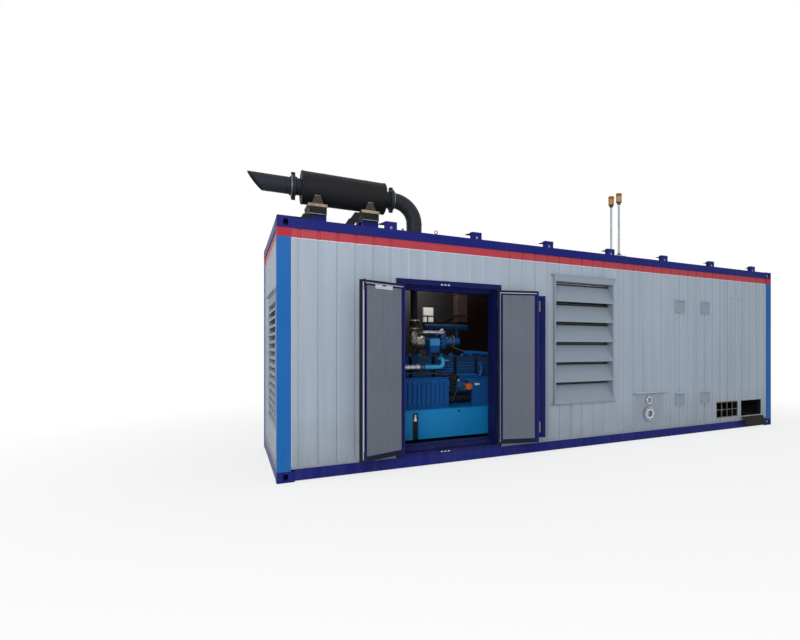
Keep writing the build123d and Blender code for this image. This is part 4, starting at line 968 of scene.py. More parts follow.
class GENSET_OT_left_leaf(bpy.types.Operator):
    """Left door leaf: lining, edging, top plate and shoot bolts"""

    bl_idname = "genset.left_leaf"
    bl_label = "Left door leaf"

    def execute(self, context):
        coat("Enamel, door blue", "left_door_panel", "left_door_hinges", "left_door_bolts")
        coat("EPDM rubber, left leaf", "left_door_seal")
        turn = leaf_dressing("left", 610.0, "left_door")
        plate = Shape(turn)
        foot, shoulder, head = 2140, 2172, 2186
        outline = [(200, foot), (440, foot), (440, head), (350, head)]
        outline += [(340, shoulder), (300, shoulder), (290, head), (200, head)]
        plate.prism([(u, 69, z) for u, z in outline], (0, 3, 0))
        plate.screws((215, 270, 370, 425), (72,), (2158,), BACK, 7, 5, 3)
        place(plate, "left_leaf_top_plate", "Powder-coated trim, pale", "left_door", "wall_grey")
        lip = Shape(turn)
        outline = ((610, 12), (612, 14), (612, 56), (608, 58), (608, 50), (610, 50))
        lip.prism([(u, v, 196) for u, v in outline], (0, 0, 2032))
        place(lip, "left_leaf_edge_rubber", "EPDM rubber", "left_door", "seal_black")
        guides = Shape(turn)
        outline = ((558, 50), (558, 71), (563, 74), (583, 74), (588, 71))
        outline += ((588, 50), (584, 50), (584, 69), (562, 69), (562, 50))
        for z in (225.0, 285.0, 2140.0, 2200.0):
            guides.prism([(u, v, z) for u, v in outline], (0, 0, 12))
        for z, way in ((300.0, -1), (2124.0, 1)):
            guides.rod([(573, 66, z), (573, 84, z), (573, 90, z - way * 10)], 4, 10)
        place(guides, "left_leaf_bolt_guides", "Moulded ABS, black", "left_door", "fitting_black")
        return {"FINISHED"}


class GENSET_OT_right_leaf(bpy.types.Operator):
    """Right door leaf: lining, edging, latches and swing handle"""

    bl_idname = "genset.right_leaf"
    bl_label = "Right door leaf"

    def execute(self, context):
        coat("Enamel, door blue", "right_door_panel", "right_door_hinges", "right_door_latches")
        coat("EPDM rubber, right leaf", "right_door_seal")
        turn = leaf_dressing("right", 559.0, "right_door")
        latch = Shape(turn)
        for z0, z1 in ((314.5, 484.5), (1940.0, 2110.0)):
            middle = (z0 + z1) / 2
            latch.bar((562, 52, z0 + 12), (582, 56, z1 - 12))
            latch.spun([(0, 9), (7, 9), (9, 7)], (572, 56, middle), BACK, 20)
            lever = ((568, 0), (576, 0), (574, 48), (570, 48))
            latch.prism([(u, 60, middle + dz) for u, dz in lever], (0, 4, 0))
            latch.screws((572,), (56,), (z0 + 22, z1 - 22), BACK, 6, 4, 3)
        place(latch, "right_leaf_latches", "Weathered zinc", "right_door", "fitting_steel", 0.6)
        rod = Shape(turn)
        rod.rod([(608, 44, 270), (608, 44, 2150)], 7, 12)
        for z in (320.0, 800.0, 1212.0, 1640.0, 2080.0):
            rod.bar((594, 34, z - 14), (622, 38, z + 14))
            rod.spun([(-9, 10), (9, 10)], (608, 44, z), UP, 16)
        place(rod, "right_leaf_lock_rod", "Enamel, door blue", "right_door", "frame_blue")
        handle = Shape(turn)
        handle.bar((592, 4, 1120), (632, 12, 1300))
        grip = ((602, 1140), (622, 1140), (620, 1280), (604, 1280))
        handle.prism([(u, 4, z) for u, z in grip], (0, -7, 0))
        handle.spun([(0, 15), (10, 15), (13, 11)], (612, 4, 1276), FRONT, 24)
        finish = ("Moulded ABS, black", "right_door", "fitting_black", 1.5)
        place(handle, "right_leaf_swing_handle", *finish)
        return {"FINISHED"}


class GENSET_OT_louvres(bpy.types.Operator):
    """Fixing screws, drip edges and bird mesh of the louvres"""

    bl_idname = "genset.louvres"
    bl_label = "Louvre fittings"

    def execute(self, context):
        x0, x1 = BAY_LEFT, BAY_RIGHT
        screws = Shape()
        across = (x0 + 45, x0 + 95, x1 - 95, x1 - 45)
        screws.screws(across, (BAY_FACE,), (2448.0, 2484.0), FRONT, 8, 5, 4)
        for x, out in ((x0, LEFT), (x1, RIGHT)):
            screws.screws((x,), (-90,), evenly(690, 2430, 7), out, 7, 5, 4)
        across = (x0 - 28, x0 + 270, (x0 + x1) / 2, x1 - 270, x1 + 28)
        screws.screws(across, (-92,), (2514,), UP, 8, 5, 4)
        low, high = cad("end_louvres")
        for x, out in ((low.x + 30, LEFT), (high.x - 30, RIGHT)):
            screws.screws((x,), (low.y + 30, high.y - 30), evenly(610, 2010, 8), out, 8, 5, 4)
        place(screws, "louvre_screws", "Zinc-plated screws", slot="galvanised")

        mesh = Shape()
        z0, z1, wire = 700, 2400, 1.2
        for x in evenly(x0 + 40, x1 - 40, 32):
            mesh.rod([(x, 13, z0), (x, 13, z1)], wire, 4)
        for z in evenly(z0, z1, 48):
            mesh.rod([(x0 + 40, 15, z), (x1 - 40, 15, z)], wire, 4)
        for x in (x0 + 30, x1 - 42):
            mesh.bar((x, 11, z0 - 10), (x + 12, 18, z1 + 10))
        for z in (z0 - 10, z1 - 2):
            mesh.bar((x0 + 30, 11, z), (x1 - 30, 18, z + 12))
        place(mesh, "louvre_bird_mesh", "Galvanised steel", slot="galvanised")
        return {"FINISHED"}


class GENSET_OT_connections(bpy.types.Operator):
    """Gas flange facing, drain ring, panel screws and covers"""

    bl_idname = "genset.connections"
    bl_label = "Connections and covers"

    def execute(self, context):
        low, _ = cad("connection_panel")
        screws = Shape()
        across = evenly(low.x + 24, low.x + 562, 5)
        screws.screws(across, (PANEL_Y,), (202.0, 720.0), FRONT, 7, 4.5, 3)
        sides = (low.x + 18, low.x + 568)
        screws.screws(sides, (PANEL_Y,), (332.0, 462.0, 592.0), FRONT, 7, 4.5, 3)
        for x, z in itertools.product(COVERS_X, COVERS_Z):
            screws.screws((x - 72, x + 72), (COVER_Y,), (z - 70, z + 62), FRONT, 6, 4, 3)
        place(screws, "panel_screws", "Zinc-plated screws", slot="galvanised")

        rings = Shape()
        # The raised face of the flange has turned grooves: depth and radius
        facing = [(0, 51.5), (2.2, 51.5), (2.2, 56)]
        for inner, outer in ((57, 58), (60, 62), (64, 66), (68, 70)):
            facing += [(1.4, inner), (2.2, outer)]
        facing += [(2.2, 78), (0, 79)]
        rings.spun(facing, (FLANGE_X, -115.0, GAS_Z), FRONT, 64, closed=True)
        collar = [(0, 57), (8, 57.5), (20, 60), (20, 57)]
        rings.spun(collar, (FLANGE_X, -95.0, GAS_Z), BACK, 48, closed=True)
        drain = [(0, 41), (7, 41), (9, 44), (9, 54), (6, 58), (0, 58)]
        rings.spun(drain, (FLANGE_X, -95.0, DRAIN_Z), FRONT, 48, closed=True)
        place(rings, "flange_facings", "Stainless steel", slot="galvanised")

        hoods = Shape()
        roofs = ((4993.0, 5690.0, 742.0), (5884.0, 6108.0, 703.0), (6491.0, 6715.0, 703.0))
        for x0, x1, z in roofs:
            slope = ((CLADDING_Y, 17), (-117, 4), (-117, 0), (CLADDING_Y, 11))
            hoods.prism([(x0, y, z + dz) for y, dz in slope], (x1 - x0, 0, 0))
        for x in COVERS_X:
            for z in COVERS_Z:
                hoods.bar((x - 100, -97, z - 94), (x + 100, COVER_Y, z - 90))
                for side in (x - 100, x + 96):
                    hoods.bar((side, -91, z - 90), (side + 4, COVER_Y, z + 90))
            slope = ((COVER_Y, 2262), (-107, 2252), (-107, 2249), (COVER_Y, 2257))
            hoods.prism([(x - 112, y, z) for y, z in slope], (224, 0, 0))
        place(hoods, "weather_hoods", "Powder-coated trim, pale", slot="wall_grey")
        return {"FINISHED"}


class GENSET_OT_cable_outlets(bpy.types.Operator):
    """Grille screws, sill and the hanging rubber flap"""

    bl_idname = "genset.cable_outlets"
    bl_label = "Cable outlets"

    def execute(self, context):
        low, high = cad("cable_grille")
        trim = Shape()
        across = (low.x + 9, (low.x + high.x) / 2, high.x - 9)
        trim.screws(across, (low.y,), (low.z + 9, high.z - 9), FRONT, 6, 4, 3)
        slope = ((CLADDING_Y, 0), (-80, -4), (-80, -6), (CLADDING_Y, -3))
        outline = [(low.x - 12, y, low.z + dz) for y, dz in slope]
        trim.prism(outline, (high.x - low.x + 24, 0, 0))
        place(trim, "grille_trim", "Powder-coated trim, pale", slot="wall_grey")

        low, high = cad("cable_flap")
        x0, width = low.x + 3, high.x - low.x - 6
        waves = context.scene.genset_sizes.flap_waves
        # The flap's run over the sill and down, as y and z
        route = bend([(-66, 199), (-112, 199), (-151, 118), (-188, 46)], 60, 10)
        total = sum((b - a).length for a, b in zip(route, route[1:]))
        columns = 48
        shape = Shape()
        grid = []
        gone = 0.0
        for i, (y, z) in enumerate(route):
            gone += (route[i] - route[i - 1]).length if i else 0
            free = gone / total
            row = []
            for t in evenly(0, 1, columns + 1):
                wave = math.sin(t * math.pi * waves + 0.6) * 5.5 * free**1.5
                sag = noise.noise(Vector((t * 3.1, free * 2.3, 4.2))) * 4 * free
                at = Vector((x0 + width * t, y, max(z + wave + sag, 14.0)))
                row.append(shape.mesh.verts.new(at))
            grid.append(row)
        for a, b in zip(grid, grid[1:]):
            for i in range(columns):
                shape.mesh.faces.new((a[i], a[i + 1], b[i + 1], b[i]))
        flap = place(shape, "rubber_flap", "EPDM rubber", slot="seal_black", smooth=60)
        thick = flap.modifiers.new("Sheet", "SOLIDIFY")
        thick.thickness = 5 * MM
        thick.offset = 0
        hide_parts("cable_flap")
        clamp = Shape()
        clamp.bar((low.x, PANEL_Y, 203), (high.x, CLADDING_Y, 222))
        clamp.screws(evenly(low.x + 40, low.x + 538, 6), (PANEL_Y,), (212,), FRONT, 7, 5, 3)
        place(clamp, "flap_clamp_strip", "Galvanised steel", slot="galvanised", bevel=0.8)
        return {"FINISHED"}


class GENSET_OT_exhaust(bpy.types.Operator):
    """Silencer rims, clamp bolts, braces and pipe seams"""

    bl_idname = "genset.exhaust"
    bl_label = "Silencer and pipes"

    def execute(self, context):
        coat("Heat paint, black", "silencer_body", "silencer_beams")
        coat("Heat paint, sooty grey", "tail_pipe", "exhaust_elbow")
        coat("Cast iron, sooty", "silencer_cradles")
        y, z = MIDDLE_Y, SILENCER_Z
        rims = Shape()
        rolled = [(-12, 214), (-9, 219), (-4, 221), (4, 221), (9, 219), (12, 214)]
        for x in (282.0 + 14, 1371.0 - 14):
            rims.spun(rolled, (x, y, z), RIGHT, 96, closed=True)
        rims.bar((310, y - 6, z + 215), (1343, y + 6, z + 218.5))
        for x in (560.0, 1110.0):
            rims.ring((x, y, z), RIGHT, 14, 215.5, 218, 96)
        place(rims, "silencer_rims", "Heat paint, black", slot="exhaust_black")

        clamps, bands = Shape(), Shape()
        for x in (189.0, 1468.0):
            for dy, dz in circle(4, 131, math.pi / 4):
                at = (x, y + dy, z + dz)
                clamps.spun([(-40, 9), (-27, 9)], at, RIGHT, 6)
                clamps.rod([(x - 44, *at[1:]), (x + 44, *at[1:])], 5.5, 10)
                clamps.spun([(27, 9), (40, 9)], at, RIGHT, 6)
            for lug in (z - 158, z + 158):
                clamps.bar((x - 24, y - 30, lug - 18), (x + 24, y + 30, lug + 18))
        for x in (165.0, 1494.0):
            bands.ring((x, y, z), RIGHT, 3, 112, 147.5, 72)
        place(clamps, "clamp_bolts", "Heat paint, black", slot="exhaust_black", bevel=3)
        place(bands, "clamp_bands", "Galvanised steel", slot="galvanised")

        seams = Shape()
        weld = [(-4, 109), (-2, 112), (2, 112), (4, 109)]
        seams.spun(weld, (RISER_X, y, 3150), UP, 64, closed=True)
        seams.spun(weld, (100, y, z), RIGHT, 64, closed=True)
        bend_x, bend_radius = 1506, 305
        for k in range(1, 4):
            a = math.radians(90 - 22.5 * k)
            across, up = bend_radius * math.cos(a), bend_radius * math.sin(a)
            centre = (bend_x + across, y, z - bend_radius + up)
            axis = (math.sin(a), 0, -math.cos(a))
            seams.spun([(-3, 109), (-1, 111), (1, 111), (3, 109)], centre, axis, 64, closed=True)
        for dx, dy in circle(8, 150):
            seams.screw((RISER_X + dx, y + dy, 2938), UP, 12, 8, 8)
        place(seams, "pipe_seams", "Heat paint, black", slot="exhaust_black")

        braces = Shape()
        base_z = 2886.0
        for head_x, head_z, foot_x in ((344.0, 3200.0, 175.0), (984.0, 3300.0, 722.0)):
            for side in (938.0, 1328.0):
                outline = [(head_x - 52, side, head_z), (head_x + 45, side, head_z)]
                outline += [(foot_x + 55, side, base_z), (foot_x - 55, side, base_z)]
                braces.prism(outline, (0, 10, 0))
                braces.bar((foot_x - 70, side - 30, base_z - 8), (foot_x + 70, side + 40, base_z))
                bolts = (foot_x - 54, foot_x + 54)
                braces.screws(bolts, (side - 14,), (base_z,), UP, 10, 7, 6)
        place(braces, "support_braces", "Heat paint, black", slot="exhaust_black", bevel=1)

        plates, fixings = Shape(), Shape()
        for x in SUPPORTS_X:
            plates.bar((x - 117, 932, 3303), (x + 117, 938, 3346))
            plates.bar((x - 118, 936, 3341.5), (x + 118, 1340, 3347))
            plates.bar((x - 34, 936, 3451), (x + 34, 1340, 3457))
            plates.bar((x - 109, 914, 3205), (x + 109, 918, 3213))
            fixings.screws((x - 98, x + 98), (962.0, 1314.0), (3347,), UP, 12, 8, 6)
            fixings.screws((x - 80, x + 80), (918.0,), (3235.0, 3275.0), FRONT, 9, 6, 5)
        place(plates, "cradle_plates", "Primed plate, rusting", slot="exhaust_black", bevel=1)

        # Thin plates on the top castings. Their black heat paint is painted shade over plates that
        # are dark blue
        caps = Shape()
        low, high = cad("top_castings")
        for y0, y1 in ((low.y + 6, low.y + 150), (high.y - 150, high.y - 6)):
            caps.bar((low.x + 2, y0, high.z), (low.x + 250, y1, high.z + 12))
        place(caps, "corner_plates_black_for_shade", "Heat paint, black", slot="exhaust_black", bevel=2)
        place(fixings, "support_bolts", "Heat paint, black", slot="exhaust_black")
        return {"FINISHED"}


class GENSET_OT_beacons(bpy.types.Operator):
    """Lens ribs, caps, collars and feet of the beacon lights"""

    bl_idname = "genset.beacons"
    bl_label = "Beacon lights"

    def execute(self, context):
        coat("Beacon lens", "beacon_lamps")
        ribs, caps, bases = Shape(), Shape(), Shape()
        # Outlines of the turned parts, as height and radius
        dome = [(3831, 44), (3833, 46.5), (3848, 46.5), (3858, 40), (3866, 22), (3867, 0)]
        collar = [(3694, 18), (3699, 27), (3726, 29), (3729, 44), (3733, 44.5), (3733, 41)]
        foot = [(2898, 45), (2911, 45), (2914, 30), (2936, 22), (2938, 18)]
        for y in MASTS_Y:
            at = (MAST_X, y, 0)
            for dx, dy in circle(18, 42):
                ribs.rod([(MAST_X + dx, y + dy, z) for z in (3732, 3830)], 2.0, 6)
            caps.spun(dome, at, UP, 40)
            bases.spun(collar, at, UP, 40)
            bases.spun(foot, at, UP, 32)
            for dx, dy in circle(4, 37, math.pi / 4):
                bases.screw((MAST_X + dx, y + dy, 2911), UP, 7, 5, 5)
        place(ribs, "beacon_lens_ribs", "Beacon lens", slot="lamp_amber")
        place(caps, "beacon_caps", "Beacon cap", slot="lamp_amber")
        place(bases, "beacon_bases", "Moulded ABS, black", slot="fitting_black")
        return {"FINISHED"}


class GENSET_OT_block(bpy.types.Operator):
    """Finishes of the engine, with its skid, covers and cylinder heads"""

    bl_idname = "genset.block"
    bl_label = "Engine block and skid"

    def execute(self, context):
        coat("Enamel, skid blue", "engine_skid")
        coat("Enamel, engine blue", "engine_block", "gas_mixer")
        # The heads and manifold take the darkened engine blue: painted shade
        coat("Enamel, dark engine blue", "cylinder_heads", "intake_manifold")
        coat("Enamel, light engine blue", "gas_train")
        coat("Enamel, filter orange", "oil_filter")
        coat("Moulded ABS, white", "control_boxes")
        coat("Heat paint, black", "starter_motor", "exhaust_riser")

        skid = Shape()
        skid.bar((1163, 561, 611), (3809, 569, 619))
        for x in (1700.0, 2380.0, 3060.0, 3600.0):
            skid.bar((x, 563, 224), (x + 8, 569, 611))
        place(skid, "skid_stiffeners", "Enamel, skid blue", slot="engine_blue", bevel=1)

        covers = Shape()
        cover = [(0, 70), (8, 70), (11, 64), (11, 30), (14, 28), (14, 0)]
        for x in (1460, 1720, 1980):
            covers.spun(cover, (x, BLOCK_Y, 975), FRONT, 36)
            for dx, dz in circle(8, 60):
                covers.screw((x + dx, 718, 975 + dz), FRONT, 7, 5, 4)
        covers.bar((1330, 700, 1036), (3300, BLOCK_Y, 1049))
        covers.bar((1330, 712, 912), (2180, BLOCK_Y, 922))
        place(covers, "crankcase_covers", "Enamel, engine blue", slot="engine_blue", bevel=1)

        heads = Shape()
        top_z = 1339.5
        cap = [(0, 40), (14, 40), (18, 34), (40, 30), (44, 22)]
        for x in (1333 + i * 1000 / 3 for i in range(6)):
            for y in (779.0, 1247.0):
                heads.screws((x + 30, x + 260), (y + 40, y + 210), (top_z,), UP, 14, 10, 10)
                heads.spun(cap, (x + 145, y + 125, top_z), UP, 28)
            for z in (1080.0, 1120.0, 1160.0, 1200.0, 1240.0):
                heads.bar((x + 8, 769, z), (x + 281, 779, z + 12))
        place(heads, "head_covers", "Enamel, engine blue", slot="engine_blue", bevel=1.5)
        return {"FINISHED"}


class GENSET_OT_turbocharger(bpy.types.Operator):
    """Bellows of the riser, wrapped turbocharger and its coolant pipe"""

    bl_idname = "genset.turbocharger"
    bl_label = "Turbocharger"

    def execute(self, context):
        x, y = RISER_X, MIDDLE_Y
        bellows, rings = Shape(), Shape()
        outline = []
        for z in (1752 + k * 11.5 for k in range(9)):
            outline += [(z, 62), (z + 2, 70), (z + 5, 72), (z + 8, 70)]
        outline.append((1855.5, 62))
        bellows.spun(outline, (x, y, 0), UP, 48)
        place(bellows, "bellows", "Brass bellows", slot="fitting_steel")
        flange = [(0, 60), (0, 84), (3, 86), (11, 86), (14, 84), (14, 60)]
        for z in (1738.0, 1858.0):
            rings.spun(flange, (x, y, z), UP, 48, closed=True)
            for dx, dy in circle(8, 75):
                rings.screw((x + dx, y + dy, z + 14), UP, 6, 5, 5)
        place(rings, "bellows_flanges", "Stainless steel", slot="fitting_steel")

        wrap = Shape()
        route = bend([(x, y, 1742), (x, y, 1550), (1985, y, 1550)], 150, 12)
        last = len(route) - 1
        rows = []
        for i, p in enumerate(route):
            axis = (route[min(i + 1, last)] - route[max(i - 1, 0)]).normalized()
            side = Vector(BACK)
            third = axis.cross(side)
            size = 66 + 40 * (i / last) ** 0.7
            row = []
            for c, s in circle(40, 1):
                out = side * c + third * s
                at = p + out * size
                lump = noise.noise(at * 0.021) * 18 + noise.noise(at * 0.06) * 8
                row.append(p + out * (size + lump))
            rows.append(row)
        wrap.rings(rows)
        piece = place(wrap, "turbo_wrap", "Aluminised glass cloth", slot="foil_silver", smooth=60)
        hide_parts("turbocharger")
        crumple = piece.modifiers.new("Subdivision", "SUBSURF")
        crumple.levels = crumple.render_levels = 2

        carrier = Shape()
        carrier.bar((1870, 1070, 1052), (1980, 1206, 1440))
        carrier.bar((1850, 1050, 1050), (2000, 1226, 1066))
        for z in (1120.0, 1220.0, 1320.0):
            carrier.bar((1880, 1062, z), (1970, 1070, z + 14))
        place(carrier, "turbo_carrier", "Cast iron, sooty", slot="exhaust_black", bevel=4)

        pipe = Shape()
        pipe_y, z = 850, 1690
        corners = [(1840, 1000, z), (1840, pipe_y, z), (2200, pipe_y, z), (2200, 1000, z)]
        pipe.rod(bend(corners, 40), 19, 20)
        for at_x in (1900.0, 2080.0, 2150.0):
            pipe.spun([(0, 26), (14, 26), (16, 23)], (at_x, pipe_y, z), RIGHT, 24)
        pipe.spun([(0, 34), (60, 34), (66, 28)], (2085, pipe_y, z), RIGHT, 24)
        pipe.rod([(2135, pipe_y, z), (2135, pipe_y, z + 45)], 14, 14)
        pipe.spun([(0, 20), (12, 20)], (2135, pipe_y, z + 40), UP, 6)
        place(pipe, "coolant_pipe", "Stainless steel", slot="fitting_steel")
        return {"FINISHED"}


class GENSET_OT_gas_train(bpy.types.Operator):
    """Fittings of the gas pipe and of the gas mixer"""

    bl_idname = "genset.gas_train"
    bl_label = "Gas pipe and mixer"

    def execute(self, context):
        y, z = PIPE_Y, PIPE_Z
        joints, tube, valve, clamp = Shape(), Shape(), Shape(), Shape()
        unions = ((1395.0, 44), (1450.0, 36), (1500.0, 40))
        unions += ((1560.0, 36), (1620.0, 36), (1690.0, 42))
        for x, r in unions:
            joints.spun([(0, r), (14, r), (17, r - 4)], (x, y, z), RIGHT, 28)
        tube.spun([(0, 33), (350, 33)], (1380, y, z), RIGHT, 28)
        place(tube, "gas_pipe_sleeve", "Galvanised steel", slot="fitting_steel")
        place(joints, "gas_pipe_unions", "Stainless steel", slot="fitting_steel")
        valve.rod([(2071, y, 1290), (2130, y, 1290)], 9, 12)
        valve.bar((2120, 632, 1283), (2160, 646, 1297))
        for x in (1830.0, 1900.0):
            valve.spun([(0, 34), (20, 34), (22, 30)], (x, y, z), RIGHT, 24)
        place(valve, "gas_pipe_fittings", "Enamel, light engine blue", slot="engine_blue")
        for x in (1738.0, 1778.0):
            clamp.spun([(0, 44), (18, 44), (20, 40)], (x, y, z), RIGHT, 28)
            clamp.screw((x + 9, y, z + 46), UP, 10, 8, 12)
            clamp.screw((x + 9, y, z - 46), DOWN, 10, 8, 12)
        place(clamp, "gas_pipe_clamp", "Cast iron, sooty", slot="exhaust_black")

        mixer, disc = Shape(), Shape()
        mixer.bar((1980, 918, 1500), (2132, 928, 1606))
        mixer.bar((1980, 918, 1600), (2132, 1070, 1606))
        mixer.screws((1992.0, 2120.0), (918,), (1512.0, 1594.0), FRONT, 8, 6, 5)
        place(mixer, "mixer_cover", "Enamel, light engine blue", slot="engine_blue", bevel=1.5)
        for dy, dz in circle(12, 116):
            disc.screw((2196, MIDDLE_Y + dy, MIXER_Z + dz), LEFT, 10, 8, 8)
            disc.screw((2266, MIDDLE_Y + dy, MIXER_Z + dz), RIGHT, 10, 8, 8)
        for x in (2310.0, 2360.0, 2440.0):
            disc.ring((x, MIDDLE_Y, MIXER_Z), RIGHT, 6, 62, 74, 48)
        disc.ring((2400, MIDDLE_Y, MIXER_Z), RIGHT, 9, 62, 100, 48)
        place(disc, "mixer_flanges", "Stainless steel", slot="fitting_steel")
        return {"FINISHED"}


class GENSET_OT_room(bpy.types.Operator):
    """Partition and duct behind the engine"""

    bl_idname = "genset.room"
    bl_label = "Engine room"

    def execute(self, context):
        duct = Shape()
        for low, high in (
            ((2570, 1300, 1880), (2720, 1500, 2330)),
            ((2555, 1285, 2318), (2735, 1515, 2336)),
            ((2555, 1285, 1980), (2735, 1515, 1994)),
            ((2560, 1290, 1875), (2730, 1510, 1890)),
        ):
            duct.bar(low, high)
        for x, z in itertools.product((2570.0, 2720.0), (1935.0, 2140.0)):
            duct.bar((x - 6, 1294, z), (x + 6, 1300, z + 150))
        panels = Shape()
        panels.bar((2860, 1880, 1150), (3760, 1900, 2250))
        for x in (2860.0, 3160.0, 3460.0, 3744.0):
            panels.bar((x, 1868, 1150), (x + 16, 1880, 2250))
        place(panels, "room_partition", "Oxide red panel", slot="fitting_black", bevel=1)
        place(duct, "air_duct", "Brown duct, primed", slot="fitting_black", bevel=1.5)
        return {"FINISHED"}


class GENSET_OT_skid_side(bpy.types.Operator):
    """Water pump and side pipes, lifting slot and shackle of the skid"""

    bl_idname = "genset.skid_side"
    bl_label = "Pump, pipes and skid fittings"

    def execute(self, context):
        pump = Shape()
        housing = [(0, 62), (60, 62), (66, 56), (66, 40), (96, 40), (98, 34), (98, 0)]
        pump.spun(housing, (2250, BLOCK_Y, 1040), FRONT, 32)
        pump.bar((2205, 672, 860), (2290, BLOCK_Y, 985))
        for height in (880.0, 920.0, 960.0):
            pump.spun([(0, 16), (40, 16), (42, 12)], (2250, 672, height), FRONT, 16)
        place(pump, "water_pump", "Heat paint, black", slot="exhaust_black", bevel=3)
        rail = Shape()
        rail.rod(bend([(2262, 700, 1078), (2612, 700, 1072), (2640, 720, 1010)], 40), 20, 18)
        rail.rod(bend([(2660, 690, 1050), (2700, 690, 1160), (2700, 760, 1250)], 50), 24, 18)
        rail.rod(bend([(2440, 760, 1395), (2600, 760, 1400), (2820, 760, 1380)], 40), 26, 18)
        for x in (2300.0, 2430.0, 2560.0):
            rail.spun([(0, 27), (16, 27), (18, 24)], (x, 700, 1076), RIGHT, 20)
        place(rail, "side_pipes", "Enamel, engine blue", slot="engine_blue")

        slot, shackle = Shape(), Shape()
        # A black plate in the lifting slot: painted shade in its recess
        slot.bar((1612, 566, 235), (1672, 569, 580))
        place(slot, "skid_slot_shade_plate", "Heat paint, black", slot="exhaust_black", bevel=0.5)
        bow = [(1632, 561, 500), (1632, 552, 556), (1660, 552, 556), (1660, 561, 500)]
        shackle.rod(bend(bow, 12), 6, 12)
        shackle.spun([(0, 15), (8, 15)], (1646, 566, 505), FRONT, 16)
        shackle.bar((1626, 560, 470), (1666, 566, 540))
        place(shackle, "skid_shackle", "Stainless steel", slot="fitting_steel")
        return {"FINISHED"}


class GENSET_OT_wiring(bpy.types.Operator):
    """Wires, sensors, lids of the control boxes and the oil filter"""

    bl_idname = "genset.wiring"
    bl_label = "Wiring and filter"

    def execute(self, context):
        harness = Shape()
        for route in (
            [
                (1380, 735, 1130),
                (1500, 700, 1105),
                (1760, 735, 1120),
                (2010, 705, 1100),
                (2180, 740, 1060),
            ],
            [
                (2190, 730, 880),
                (2230, 690, 960),
                (2300, 720, 1010),
                (2440, 690, 990),
                (2520, 735, 940),
            ],
            [(2250, 735, 700), (2280, 690, 820), (2350, 700, 900), (2470, 670, 915)],
            [(2060, 925, 1400), (2070, 860, 1280), (1990, 800, 1180), (1950, 760, 1110)],
            [(2330, 1000, 1500), (2420, 900, 1430), (2600, 850, 1400), (2900, 800, 1380)],
            [(2500, 2200, 1960), (2650, 2230, 1900), (2900, 2240, 2050), (3000, 2250, 2500)],
        ):
            harness.rod(bend(route, 70, 8), 11, 10)
        place(harness, "engine_harness", "Moulded ABS, black", slot="fitting_black")

        sensors = Shape()
        plug = [(0, 16), (18, 16), (18, 11), (40, 11), (42, 8)]
        for x, z in ((2610.0, 930.0), (2650.0, 930.0), (2330.0, 1000.0)):
            sensors.spun(plug, (x, BLOCK_Y, z), FRONT, 20)
        # Lids of the boxes, and black strips between them that paint the shade in the gaps
        x, y, z = BOX_X, BOX_Y, BOX_Z
        sensors.bar((x, y, z + 4), (x + 60, y + 8, z + 86))
        sensors.bar((x + 90, y, z + 4), (x + 175, y + 8, z + 86))
        sensors.bar((x, y, z + 112), (x + 175, y + 8, z + 244))
        shade_strips = Shape()
        shade_strips.bar((x + 62, y - 1, z), (x + 88, y + 8, z + 90))
        shade_strips.bar((x + 5, y - 1, z + 91), (x + 170, y + 8, z + 107))
        place(shade_strips, "control_box_shade_strips", "Moulded ABS, black", slot="fitting_black")
        for low, high in ((z + 12, z + 78), (z + 120, z + 236)):
            sensors.screws((x + 10, x + 165), (y,), (low, high), FRONT, 6, 4, 3)
        place(sensors, "sensors_and_box_lids", "Moulded ABS, white", slot="box_white", bevel=1)

        can = Shape()
        at = (FILTER_X, BLOCK_Y, FILTER_Z)
        can.spun([(0, 40), (4, 50), (12, 50), (14, 47)], at, FRONT, 40)
        can.spun([(0, 44), (3, 30), (6, 14)], (FILTER_X, 659, FILTER_Z), FRONT, 12)
        for dx, dz in circle(20, 48.5):
            x, z = FILTER_X + dx, FILTER_Z + dz
            can.rod([(x, 668, z), (x, 688, z)], 2.5, 6)
        place(can, "filter_details", "Enamel, filter orange", slot="filter_orange")
        return {"FINISHED"}


def seen_directly(tree):
    """1 for what the camera sees, also in a mirror or through glass."""
    rays = add(tree, "LightPath").node.outputs
    seen = rays["Is Camera Ray"]
    for other in ("Is Glossy Ray", "Is Transmission Ray"):
        seen = add(tree, "Math", {0: seen, 1: rays[other]}, operation="MAXIMUM")
    return seen


def studio_paper(colour):
    """Matt studio paper, white where only the camera looks, further out."""
    name = "Matt studio paper"
    # Fibres of the paper, drawn 40 mm long so that they show at all
    tree, spot, (fibre,) = begin(name, (40, 3))
    tone = tinted(tree, rgba(colour), (fibre, 0.3, 0.7, 0.05, "D8D8D8"))
    bump = add(tree, "Bump", {"Height": fibre, "Distance": 0.2 * MM, "Strength": 0.3})
    surface = {"Base Color": tone, "Roughness": 0.9, "Normal": bump}
    matt = add(tree, "BsdfPrincipled", surface)
    glow = add(tree, "Emission", {"Color": (1, 1, 1, 1), "Strength": 1.0})
    away = add(tree, "VectorMath", {0: spot}, "Value", operation="LENGTH")
    far = add(tree, "MapRange", {0: away, 1: 5.0, 2: 9.0, 3: 0.75, 4: 1.0})
    lift = add(tree, "Math", {0: far, 1: seen_directly(tree)}, operation="MULTIPLY")
    both = add(tree, "MixShader", {0: lift, 1: matt, 2: glow})
    add(tree, "OutputMaterial", {"Surface": both})
    return bpy.data.materials[name]


